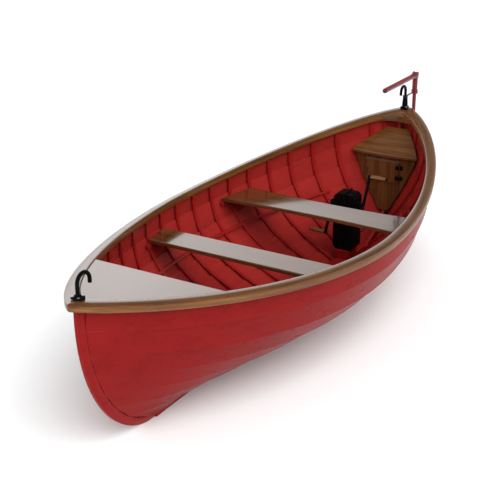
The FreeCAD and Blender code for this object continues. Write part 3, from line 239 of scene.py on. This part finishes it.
def paint(name, colour, gloss, inboard_painted_light=None, along=(0.9, 9.0, 9.0)):
    """Brushed oil paint with slow tone changes, brush marks and paler worn edges.

    along stretches the brush marks. The faces that look up or towards the middle of the boat can
    take a lighter copy of the colour, which is painted light.
    """
    f = Finish(name, IOR=gloss)
    slow = f.noise((1.3, 2.0, 2.0), detail=3.0)
    brush = f.noise(along, detail=7.0, roughness=0.7)
    fine = f.noise(tuple(12 * a for a in along), detail=3.0)
    tone = f.math("MULTIPLY_ADD", brush, 0.55, f.math("MULTIPLY", slow, 0.45))
    body = f.ramp(tone, *shades(colour, PAINT_STEPS))
    # Painted light: a lighter copy of the paint on the faces that look up or towards the middle of
    # the boat.
    if inboard_painted_light:
        body = f.mix(f.inboard_painted_light(), body, f.ramp(tone, *shades(inboard_painted_light, PAINT_STEPS)))
    body = f.wear(body, WORN_PAINT, 0.5, radius=0.004, stretch=7.0, shift=3.0, reach=(0.45, 0.7))
    rough = f.math("ADD", brush, f.math("MULTIPLY", slow, 0.5))
    f.bumps((fine, 0.12, 0.0006), (brush, 0.25, 0.0012))
    return f.done(body, f.remap(rough, 0.5, 1.0, *PAINT_ROUGH))


def wood(name, along, lift=1.0, rails=False, gloss=1.5, coat=1.0, rough=(0.12, 0.22)):
    """Varnished boat timber with its grain along an axis, or along the gunwale's curve."""
    f = Finish(name, IOR=gloss, Coat_Weight=coat, Coat_Roughness=0.08, Coat_IOR=1.5)
    place = f.rail_place() if rails else f.place

    def streaks(run, across, **settings):
        stretch = tuple(run if axis == along else across for axis in "xyz")
        return f.noise(stretch, place=place, **settings)

    grain = streaks(1.6, 38.0, detail=8.0, roughness=0.65, distortion=0.4)
    bands = streaks(0.5, 9.0, detail=3.0, distortion=1.2, shift=5.0)
    pores = streaks(9.0, 260.0, detail=2.0, roughness=0.4)
    tone = f.math("MULTIPLY_ADD", grain, 0.6, f.math("MULTIPLY", bands, 0.4))
    body = f.ramp(tone, *[(position, scaled(colour, lift)) for position, colour in TIMBER_STOPS])
    pits = f.math("MULTIPLY", f.remap(pores, 0.6, 0.72), 0.45)
    body = f.mix(pits, body, scaled(TIMBER_DARK, 0.7))
    body = f.wear(body, WORN_TIMBER, 0.35, radius=0.005, stretch=6.0, shift=7.0, reach=(0.5, 0.72))
    f.bumps((pores, 0.04, 0.0003), (bands, 0.05, 0.002))
    return f.done(body, f.remap(grain, 0.3, 0.7, *rough))


def iron(name, colour, gloss, coat, rough=(0.25, 0.5), black_from=None):
    """Painted ironwork: a lumpy brushed coat with rubbed edges, black forward of black_from."""
    f = Finish(name, IOR=gloss, Coat_Weight=coat, Coat_Roughness=0.12)
    patches = f.noise((11.0,) * 3, detail=6.0)
    lumps = f.noise((90.0,) * 3, detail=4.0)
    body = f.ramp(patches, *shades(colour, IRON_STEPS))
    rubbed = scaled(tuple(c + 0.03 for c in colour), 2.0)
    body = f.wear(body, rubbed, 0.4, radius=0.003, stretch=30.0, shift=2.0, reach=(0.42, 0.6))
    if black_from is not None:
        forward = f.math("GREATER_THAN", f.axes(f.place)[0], black_from)
        body = f.mix(forward, body, BLACK)
    f.bumps((lumps, 0.25, 0.0008))
    return f.done(body, f.remap(patches, 0.3, 0.7, *rough))


def metal(name, colour, rough, dull):
    """Machined metal: fine turning marks and duller oxidised patches."""
    f = Finish(name, Metallic=1.0)
    patches = f.noise((16.0,) * 3, detail=7.0)
    marks = f.noise((500.0, 500.0, 60.0), detail=2.0)
    body = f.mix(f.remap(patches, 0.42, 0.68), colour, dull)
    f.bumps((marks, 0.12, 0.0003))
    return f.done(body, f.remap(patches, 0.35, 0.7, *rough))


RED = (0.225, 0.008, 0.008)
# A lighter copy of RED, painted light on the planks' faces that look up or towards the middle of
# the boat, not a second paint.
INBOARD_PAINTED_LIGHT_RED = (0.285, 0.019, 0.016)
RIB_RED = (0.25, 0.009, 0.008)
STEEL_RED = (0.14, 0.004, 0.008)
BLACK = (0.002, 0.002, 0.0023)
# Forward of this station the bracket's paint is that of the black stern hook.
BRACKET_BLACK_FROM = -2.462
SIDE_LOOK = {"gloss": 1.3, "coat": 0.15, "rough": (0.25, 0.4)}
STEEL_LOOK = {"gloss": 1.4, "coat": 0.25}
FINISHES = {
    "hull": paint("hull_red", RED, gloss=1.15, inboard_painted_light=INBOARD_PAINTED_LIGHT_RED),
    "inner": paint("inner_red", RIB_RED, gloss=1.25, along=(5.0, 5.0, 5.0)),
    "rail": wood("rail_varnish", "x", lift=0.65, rails=True),
    "side": wood("side_varnish", "x", rails=True, **SIDE_LOOK),
    "thwart": wood("thwart_varnish", "y", lift=0.5),
    "deck": wood("deck_varnish", "x", lift=0.6),
    "seat": wood("seat_varnish", "y", lift=0.66),
    "panel": wood("panel_varnish", "z", lift=0.55),
    "grip": wood("grip_varnish", "y", lift=0.8),
    "black": iron("black_iron", BLACK, gloss=1.15, coat=0.0, rough=(0.35, 0.55)),
    "red_steel": iron("red_steel", STEEL_RED, **STEEL_LOOK),
    "bracket": iron("bracket_paint", STEEL_RED, black_from=BRACKET_BLACK_FROM, **STEEL_LOOK),
    "bronze": metal("bronze", (0.62, 0.38, 0.14), rough=(0.22, 0.45), dull=(0.3, 0.18, 0.07)),
    "steel": metal("steel", (0.56, 0.56, 0.57), rough=(0.18, 0.4), dull=(0.3, 0.29, 0.28)),
}
PLANKS = range(1, 8)
STRAKES = [f"strake_{i}_{side}" for i in PLANKS for side in ("port", "starboard")]
THWARTS = ("forward_thwart", "aft_thwart")
WEARS = {
    "hull": [*STRAKES, "keel", "stem", "sternpost", "skeg", "rudder_blade"],
    "inner": [
        "ribs",
        "thwart_risers",
        "bilge_stringers",
        "keelson",
        "deck_beam",
        "gear_bearer",
    ],
    "rail": ["gunwale_cap_port", "gunwale_cap_starboard"],
    "side": ["rub_rail_port", "rub_rail_starboard", "inwale_port", "inwale_starboard"],
    "thwart": THWARTS,
    "deck": ["foredeck"],
    "seat": ["locker_lid", "stern_breasthook"],
    "panel": ["stern_bulkhead", "locker_door"],
    "grip": ["grip_port", "grip_starboard"],
    "black": [
        "bow_hook",
        "stern_hook",
        "gear_case_port",
        "gear_case_starboard",
        "crank_arm_port",
        "crank_arm_starboard",
    ],
    "red_steel": ["rudder_stock", "tiller", "heel_shoe"],
    "bracket": ["stock_bracket"],
    "bronze": ["propeller", "stern_tube", "crank_gear", "upright_gears"],
    "steel": [
        "crank_shaft",
        "upright_shaft",
        "propeller_shaft",
        "hook_bolts",
        "door_handle",
        "tiller_pin",
    ],
}
for finish, names in WEARS.items():
    for name in names:
        NODES[name].data.materials.clear()
        NODES[name].data.materials.append(FINISHES[finish])


# ---------------------------------------------------------------- pieces
EASED_ANGLE = math.radians(30)
CREASE_ANGLE = math.radians(40)
FLAT_ANGLE = math.radians(0.4)
WELD = 1e-5


def add_object(title, data):
    """A new object in the scene."""
    thing = bpy.data.objects.new(title, data)
    bpy.context.scene.collection.objects.link(thing)
    return thing


def made_mesh(title, work, material):
    """A mesh with one material, from a bmesh that is no longer needed."""
    mesh = bpy.data.meshes.new(title)
    work.to_mesh(mesh)
    work.free()
    mesh.materials.append(material)
    return mesh


def smooth(work, angle):
    """Smooths a bmesh's faces, but for the edges that are sharper than angle."""
    for face in work.faces:
        face.smooth = True
    for edge in work.edges:
        edge.smooth = edge.is_manifold and edge.calc_face_angle(0.0) < angle


def polished(name, width):
    """A welded copy of a CAD node with its edges eased to width, which stands for that node."""
    source = NODES[name]
    mesh = source.data.copy()
    piece = add_object(f"{name}_eased", mesh)
    work = bmesh.new()
    work.from_mesh(mesh)
    bmesh.ops.remove_doubles(work, verts=work.verts, dist=WELD)
    bmesh.ops.dissolve_limit(work, angle_limit=FLAT_ANGLE, verts=work.verts, edges=work.edges)
    smooth(work, EASED_ANGLE)
    work.to_mesh(mesh)
    work.free()
    if "custom_normal" in mesh.attributes:
        mesh.attributes.remove(mesh.attributes["custom_normal"])
    bevel = piece.modifiers.new("eased_edges", "BEVEL")
    bevel.width = width
    bevel.segments = 2
    bevel.limit_method = "ANGLE"
    bevel.angle_limit = EASED_ANGLE
    bevel.miter_outer = "MITER_ARC"
    bevel.harden_normals = True
    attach(piece, source["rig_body"])
    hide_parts(name)


def new_piece(title, work, body, material):
    """Turns a finished bmesh into a piece that rides on a body."""
    bmesh.ops.recalc_face_normals(work, faces=work.faces)
    smooth(work, CREASE_ANGLE)
    piece = add_object(title, made_mesh(title, work, material))
    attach(piece, body)
    return piece


def bridge(work, first, second):
    """Faces between two closed rings of vertices."""
    count = len(first)
    for i in range(count):
        j = (i + 1) % count
        work.faces.new((first[i], first[j], second[j], second[i]))


# Sections of the rails as (inset, drop) in millimetres: in from the gunwale's outer edge, and
# down from its top.
CAP_PROFILE = (
    (3.0, 18.0), (0.6, 16.8), (0.2, 15.2), (1.2, 13.6), (5.0, 11.6), (12.0, 8.6), (20.0, 5.8),
    (30.0, 3.1), (40.0, 1.3), (50.0, 0.3), (58.0, 0.0), (64.0, 0.3), (70.0, 1.0), (73.5, 2.0),
    (75.6, 3.6), (76.5, 6.0), (76.5, 18.0),
)
RUB_PROFILE = (
    (40.0, 18.5), (9.0, 18.5), (5.0, 20.0), (2.0, 24.0), (0.5, 31.0), (0.0, 42.0), (0.5, 54.0),
    (2.5, 61.0), (6.5, 66.0), (12.0, 68.0), (40.0, 68.0),
)
INWALE_PROFILE = (
    (79.5, 18.5), (79.5, 45.0), (78.0, 48.5), (75.0, 50.0), (59.0, 50.0), (59.0, 18.5),
)
RAIL_STEPS = 120
MILLIMETRE = 1e-3


def swept_rail(name, profile):
    """A rail round one half of the gunwale, which stands for the CAD rail of that name."""
    side = 1 if name.endswith("port") else -1
    work = bmesh.new()
    rings = []
    for k in range(RAIL_STEPS + 1):
        share = math.sin(math.pi * (k / RAIL_STEPS - 0.5))
        fullness, taper = BOW_SHAPE if share > 0 else STERN_SHAPE
        ring = []
        for inset, drop in profile:
            x = share * (HALF_LENGTH - END_INSETS * MILLIMETRE * inset)
            y = (HALF_BEAM - MILLIMETRE * inset) * (1 - abs(share) ** fullness) ** taper
            ring.append(work.verts.new((x, side * y, sheer(x) - MILLIMETRE * drop)))
        rings.append(ring)
    for first, second in zip(rings, rings[1:]):
        bridge(work, first, second)
    work.faces.new(rings[0])
    work.faces.new(rings[-1])
    source = NODES[name]
    body, material = source["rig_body"], source.data.materials[0]
    piece = new_piece(f"{name}_swept", work, body, material)
    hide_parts(name)


EASED_WIDTHS = {
    "ribs": 0.004,
    "forward_thwart": 0.006,
    "aft_thwart": 0.006,
    "locker_lid": 0.004,
    "deck_beam": 0.003,
    "gear_bearer": 0.004,
    "keelson": 0.004,
    "keel": 0.006,
    "locker_door": 0.003,
}
for side in ("port", "starboard"):
    swept_rail(f"gunwale_cap_{side}", CAP_PROFILE)
    swept_rail(f"rub_rail_{side}", RUB_PROFILE)
    swept_rail(f"inwale_{side}", INWALE_PROFILE)
for name, width in EASED_WIDTHS.items():
    polished(name, width)


# ---------------------------------------------------------------- shapes of small parts
def on_circle(radius, angle, height=0.0):
    return Vector((radius * math.cos(angle), radius * math.sin(angle), height))


def lathe(work, place, axis, outline, segments):
    """Adds a closed turned shape: outline holds (radius, height) pairs, from foot to top."""
    turn = axis.normalized().to_track_quat("Z", "X")
    angles = [2 * math.pi * k / segments for k in range(segments)]
    rings = []
    for radius, height in outline:
        spots = [place + turn @ on_circle(radius, angle, height) for angle in angles]
        rings.append([work.verts.new(spot) for spot in spots])
    for low, high in zip(rings, rings[1:]):
        bridge(work, low, high)
    work.faces.new(rings[0][::-1])
    work.faces.new(rings[-1])


def dome(radius, height):
    """Outline of a low rounded head whose foot sinks a little into what it holds."""
    return [
        (radius, -0.4 * height),
        (radius, 0.25 * height),
        (0.8 * radius, 0.7 * height),
        (0.35 * radius, height),
    ]


def plate(work, low, high, edge):
    """Adds a rectangular plate between two corners, its edges rounded to edge."""
    low, high = Vector(low), Vector(high)
    made = bmesh.ops.create_cube(work, size=1.0)["verts"]
    for vert in made:
        vert.co = Vector((low[i] + (vert.co[i] + 0.5) * (high[i] - low[i]) for i in range(3)))
    edges = list(dict.fromkeys(e for v in made for e in v.link_edges))
    bmesh.ops.bevel(work, geom=edges, offset=edge, segments=2, affect="EDGES", profile=0.5)


def bolt_ring(work, centre, axis, radius, head):
    """Six hexagon heads evenly spaced on a circle round an axis."""
    turn = axis.to_track_quat("Z", "X")
    outline = [(head, -0.001), (head, 0.6 * head), (0.8 * head, 0.8 * head)]
    for k in range(6):
        place = centre + turn @ on_circle(radius, 2 * math.pi * (k + 0.5) / 6)
        lathe(work, place, axis, outline, segments=6)


# ---------------------------------------------------------------- rivets, plugs and screws
RIB_PITCH = 0.24
RIB_STATIONS = [0.035 + RIB_PITCH * k for k in range(-8, 9)]
RIVETS_PER_BAY = 3
LAP_CENTRE = 0.014
ROVE = dome(0.0065, 0.0022)
RIVET = dome(0.0055, 0.0016)
# How far out from a lap the search for the planks, or for the ribs, starts, and how far it goes.
OUTSIDE_START = 0.1
INSIDE_START = -0.25
SEARCH_REACH = 0.4

PLUG_INSET = 0.058
PLUG_STATIONS = [0.155 + RIB_PITCH * k for k in range(-10, 9)]
PLUG = dome(0.008, 0.0008)
SLOPE_STEP = 0.01

SEAT_SCREW = dome(0.0065, 0.001)
SEAT_SCREW_INSET = 0.06


def surface(*names):
    """One search tree over several CAD nodes, in world coordinates."""
    points, faces = [], []
    for name in names:
        source = NODES[name]
        first = len(points)
        points += [source.matrix_world @ v.co for v in source.data.vertices]
        faces += [[first + i for i in polygon.vertices] for polygon in source.data.polygons]
    return BVHTree.FromPolygons(points, faces)


def crossing(name, station):
    """Points where a CAD node's edges cross a station."""
    source = NODES[name]
    places = [source.matrix_world @ v.co for v in source.data.vertices]
    points = []
    for edge in source.data.edges:
        a, b = (places[i] for i in edge.vertices)
        if (a.x - station) * (b.x - station) < 0:
            points.append(a.lerp(b, (station - a.x) / (b.x - a.x)))
    return points


def rivets():
    """Rivet heads along every lap outside, and roves on the inner faces of the ribs."""
    outside = surface(*[f"strake_{i}_port" for i in PLANKS])
    inside = surface("ribs")
    heads, roves = bmesh.new(), bmesh.new()
    pitch = (RIB_STATIONS[1] - RIB_STATIONS[0]) / RIVETS_PER_BAY
    for i in PLANKS[1:]:
        for k in range(RIVETS_PER_BAY * (len(RIB_STATIONS) - 1) + 1):
            points = crossing(f"strake_{i}_port", RIB_STATIONS[0] + pitch * k)
            foot = min(points, key=lambda v: v.z)
            head = max(points, key=lambda v: v.z)
            up = (head - foot).normalized()
            out = Vector((0.0, up.z, -up.y))
            place = foot + LAP_CENTRE * up
            spots = [(heads, outside, OUTSIDE_START, RIVET)]
            if k % RIVETS_PER_BAY == 0:
                spots.append((roves, inside, INSIDE_START, ROVE))
            for work, tree, start, outline in spots:
                heading = -math.copysign(1.0, start) * out
                spot, normal, _, _ = tree.ray_cast(place + start * out, heading, SEARCH_REACH)
                if spot is None:
                    continue
                for side in (1, -1):
                    mirror = Vector((1, side, 1))
                    lathe(work, spot * mirror, normal * mirror, outline, segments=8)
    new_piece("lap_rivets", heads, HULL, FINISHES["hull"])
    new_piece("rib_roves", roves, HULL, FINISHES["inner"])


def wooden_plugs():
    """Plugs over the screws that hold the gunwale caps, halfway between the ribs."""
    work = bmesh.new()
    for station in PLUG_STATIONS:
        climb = sheer(station + SLOPE_STEP) - sheer(station - SLOPE_STEP)
        axis = Vector((-climb / (2 * SLOPE_STEP), 0.0, 1.0))
        for side in (1, -1):
            y = side * rail_breadth(station, PLUG_INSET)
            lathe(work, Vector((station, y, sheer(station))), axis, PLUG, segments=16)
    new_piece("cap_plugs", work, HULL, FINISHES["seat"])


def thwart_screws():
    """Bronze screw heads where the thwarts rest on their cleats."""
    work = bmesh.new()
    for name in THWARTS:
        corners = [NODES[name].matrix_world @ Vector(c) for c in NODES[name].bound_box]
        aft, fore = min(c.x for c in corners), max(c.x for c in corners)
        y = max(c.y for c in corners) - SEAT_SCREW_INSET
        top = max(c.z for c in corners)
        for share in (0.25, 0.5, 0.75):
            for side in (1, -1):
                place = Vector((aft + share * (fore - aft), side * y, top))
                lathe(work, place, UP, SEAT_SCREW, segments=16)
    new_piece("thwart_screws", work, HULL, FINISHES["bronze"])


rivets()
wooden_plugs()
thwart_screws()

# ---------------------------------------------------------------- hinges of the locker's door
HINGE_LEVELS = (0.64, 0.74)
HINGE_AXIS = (-2.0135, 0.145)
# Leaves as (x, y) corners from the hinge's axis.
DOOR_LEAF = ((-0.0005, -0.034), (0.002, -0.004))
BULKHEAD_LEAF = ((-0.0168, 0.006), (-0.0145, 0.034))
LEAF_HALF_HEIGHT = 0.02
LEAF_EDGE = 0.0006
KNUCKLE = ((0.004, 0.0), (0.0042, 0.001), (0.0042, 0.039), (0.003, 0.041))
HINGE_SCREW = dome(0.003, 0.001)
HINGE_SCREW_INSET = 0.022
HINGE_SCREW_RISE = 0.012


def hinges():
    """Two butt hinges: one leaf and the knuckle swing with the door, the other leaf stays."""
    x, y = HINGE_AXIS
    moving, fixed = bmesh.new(), bmesh.new()
    for level in HINGE_LEVELS:
        foot, head = level - LEAF_HALF_HEIGHT, level + LEAF_HALF_HEIGHT
        for work, (low, high) in ((moving, DOOR_LEAF), (fixed, BULKHEAD_LEAF)):
            low = (x + low[0], y + low[1], foot)
            high = (x + high[0], y + high[1], head)
            plate(work, low, high, LEAF_EDGE)
        door_face, bulkhead_face = x + DOOR_LEAF[1][0], x + BULKHEAD_LEAF[1][0]
        lathe(moving, Vector((door_face, y, foot)), UP, KNUCKLE, segments=12)
        for rise in (-HINGE_SCREW_RISE, HINGE_SCREW_RISE):
            place = Vector((door_face, y - HINGE_SCREW_INSET, level + rise))
            lathe(moving, place, FORWARD, HINGE_SCREW, segments=10)
            place = Vector((bulkhead_face, y + HINGE_SCREW_INSET, level + rise))
            lathe(fixed, place, FORWARD, HINGE_SCREW, segments=10)
    new_piece("door_hinges", moving, DOOR, FINISHES["black"])
    new_piece("bulkhead_hinges", fixed, HULL, FINISHES["black"])


hinges()

# ---------------------------------------------------------------- fittings of the gear case
CASE_X = -1.26
CASE_FOOT = 0.206
CASE_TOP = 0.715
CASE_HALF_LENGTH = 0.07
CASE_HALF_WIDTH = 0.1
FLANGE_REACH = 0.011
FLANGE_HALF_WIDTH = 0.007
FLANGE_EDGE = 0.002
FLANGE_BOLT = ((0.005, -0.001), (0.005, 0.003), (0.004, 0.004))
FLANGE_BOLT_LEVELS = [CASE_FOOT + 0.05 + 0.1 * k for k in range(5)]
# Round covers on the case's sides: level, outline, radius of the ring of bolts, size of a bolt.
COVERS = (
    (0.6, ((0.056, 0.0), (0.056, 0.007), (0.053, 0.009), (0.03, 0.009)), 0.046, 0.006),
    (0.33, ((0.05, 0.0), (0.05, 0.005), (0.047, 0.007), (0.02, 0.007)), 0.04, 0.005),
)
SUNK = 0.001
FILLER = ((0.017, 0.0), (0.017, 0.01), (0.014, 0.012))
FILLER_Y = 0.045


def gear_case_fittings():
    """Joint flange, covers and filler cap on the gear case, with their bolts."""
    work = bmesh.new()
    half = FLANGE_HALF_WIDTH
    crown = CASE_TOP + FLANGE_REACH
    for side in (-1, 1):
        root = CASE_X + side * CASE_HALF_LENGTH
        tip = root + side * FLANGE_REACH
        low, high = (min(root, tip), -half, CASE_FOOT), (max(root, tip), half, crown)
        plate(work, low, high, FLANGE_EDGE)
        for level in FLANGE_BOLT_LEVELS:
            place = Vector((root + side * 0.6 * FLANGE_REACH, half, level))
            lathe(work, place, PORT, FLANGE_BOLT, segments=6)
    low = (CASE_X - CASE_HALF_LENGTH, -half, CASE_TOP - SUNK)
    plate(work, low, (CASE_X + CASE_HALF_LENGTH, half, crown), FLANGE_EDGE)
    for side in (-1, 1):
        axis = Vector((0.0, side, 0.0))
        for level, outline, ring_radius, head in COVERS:
            place = Vector((CASE_X, side * (CASE_HALF_WIDTH - SUNK), level))
            lathe(work, place, axis, outline, segments=40)
            bolt_ring(work, place + outline[-1][1] * axis, axis, ring_radius, head)
    lathe(work, Vector((CASE_X, FILLER_Y, CASE_TOP - 2 * SUNK)), UP, FILLER, segments=6)
    new_piece("gear_case_fittings", work, HULL, FINISHES["black"])


gear_case_fittings()

# ---------------------------------------------------------------- stage
STAGE_RADIUS = 70.0
STAGE_SIDES = 96
WALL_FOOT = -0.1
WALL_HEIGHT = 60.0
# Brightness of the sky by height, from straight down at 0 to straight up at 1.
SKY = (
    (0.0, 0.4), (0.07, 0.7), (0.14, 0.9), (0.3, 1.1),
    (0.42, 1.15), (0.51, 0.2), (0.7, 0.08), (1.0, 0.08),
)
# The window is brightest towards this direction: range of the dot product, and of the strength.
WINDOW_SIDE = (0.469, -0.883, 0.0)
WINDOW = (-0.15, 0.1, 0.5, 1.3)
# Each light's strength, its angle in degrees and the direction in which it shines.
LIGHTS = {
    "dome": (1.3, 150.0, (0.0, 0.0, -1.0)),
    "key": (2.8, 60.0, (-0.38, -0.75, -1.0)),
}


def stage_floor():
    """A wide white floor."""
    f = Finish("floor_paint", IOR=1.3)
    tone = f.noise((0.8,) * 3, detail=2.0)
    tone = f.ramp(tone, (0.0, (0.9, 0.93, 0.93)), (1.0, (0.92, 0.95, 0.95)))
    material = f.done(tone, f.remap(f.noise((3.0,) * 3), 0.0, 1.0, 0.85, 0.95))
    work = bmesh.new()
    bmesh.ops.create_circle(work, cap_ends=True, segments=STAGE_SIDES, radius=STAGE_RADIUS)
    floor = add_object("floor", made_mesh("floor", work, material))


def stage_wall():
    """A white wall round the floor, which lights nothing and isn't mirrored."""
    f = Finish("wall_light", Emission_Color=(1.0, 1.0, 1.0, 1.0), Emission_Strength=1.2)
    tone = f.ramp(f.noise((0.3,) * 3, detail=2.0), (0.0, (0.9,) * 3), (1.0, (0.95,) * 3))
    material = f.done(tone, f.remap(f.noise((1.0,) * 3), 0.0, 1.0, 0.9, 1.0))
    work = bmesh.new()
    angles = [2 * math.pi * k / STAGE_SIDES for k in range(STAGE_SIDES)]
    foot = [work.verts.new(on_circle(STAGE_RADIUS, angle, WALL_FOOT)) for angle in angles]
    head = [work.verts.new(vert.co + WALL_HEIGHT * UP) for vert in foot]
    bridge(work, foot, head)
    wall = add_object("wall", made_mesh("wall", work, material))
    wall.visible_glossy = wall.visible_diffuse = wall.visible_shadow = False


def sky():
    """A sky with a wide bright window low over the horizon, strongest on the starboard side."""
    world = bpy.data.worlds.new("studio")
    bpy.context.scene.world = world
    world.use_nodes = True
    nodes, links = world.node_tree.nodes, world.node_tree.links
    back = nodes["Background"]
    place = nodes.new("ShaderNodeTexCoord").outputs["Generated"]
    split = nodes.new("ShaderNodeSeparateXYZ")
    ramp = nodes.new("ShaderNodeValToRGB")
    fill_ramp(ramp.color_ramp, [(height, (value,) * 3) for height, value in SKY])
    side = nodes.new("ShaderNodeVectorMath")
    side.operation = "DOT_PRODUCT"
    side.inputs[1].default_value = WINDOW_SIDE
    window = nodes.new("ShaderNodeMapRange")
    for socket, value in zip(window.inputs[1:5], WINDOW):
        socket.default_value = value
    links.new(place, split.inputs[0])
    links.new(split.outputs[2], ramp.inputs[0])
    links.new(ramp.outputs[0], back.inputs["Color"])
    links.new(place, side.inputs[0])
    links.new(side.outputs["Value"], window.inputs[0])
    links.new(window.outputs[0], back.inputs["Strength"])


def lights():
    """Two wide lights, which show as light on the boat but not as mirrored discs."""
    for title, (strength, spread, direction) in LIGHTS.items():
        light = bpy.data.lights.new(title, "SUN")
        light.energy = strength
        light.angle = math.radians(spread)
        lamp = add_object(title, light)
        lamp.visible_glossy = False
        lamp.rotation_mode = "QUATERNION"
        lamp.rotation_quaternion = Vector(direction).to_track_quat("-Z", "Y")


stage_floor()
stage_wall()
sky()
lights()

# ---------------------------------------------------------------- camera
CAMERA_PLACE = (7.095, 3.947, 3.942)
PITCH = math.radians(22.27)
HEADING = Vector((-0.8613, -0.5081, 0.0)).normalized()
SENSOR_MM = 36.0
LENS_MM = 81.2

lens = bpy.data.cameras.new("camera")
lens.sensor_width = SENSOR_MM
lens.lens = LENS_MM
lens.clip_end = 200.0
camera = add_object("camera", lens)
camera.location = CAMERA_PLACE
camera.rotation_mode = "QUATERNION"
look = HEADING * math.cos(PITCH) - math.sin(PITCH) * UP
camera.rotation_quaternion = look.to_track_quat("-Z", "Y")
bpy.context.scene.camera = camera
bpy.context.scene.view_settings.view_transform = "Standard"
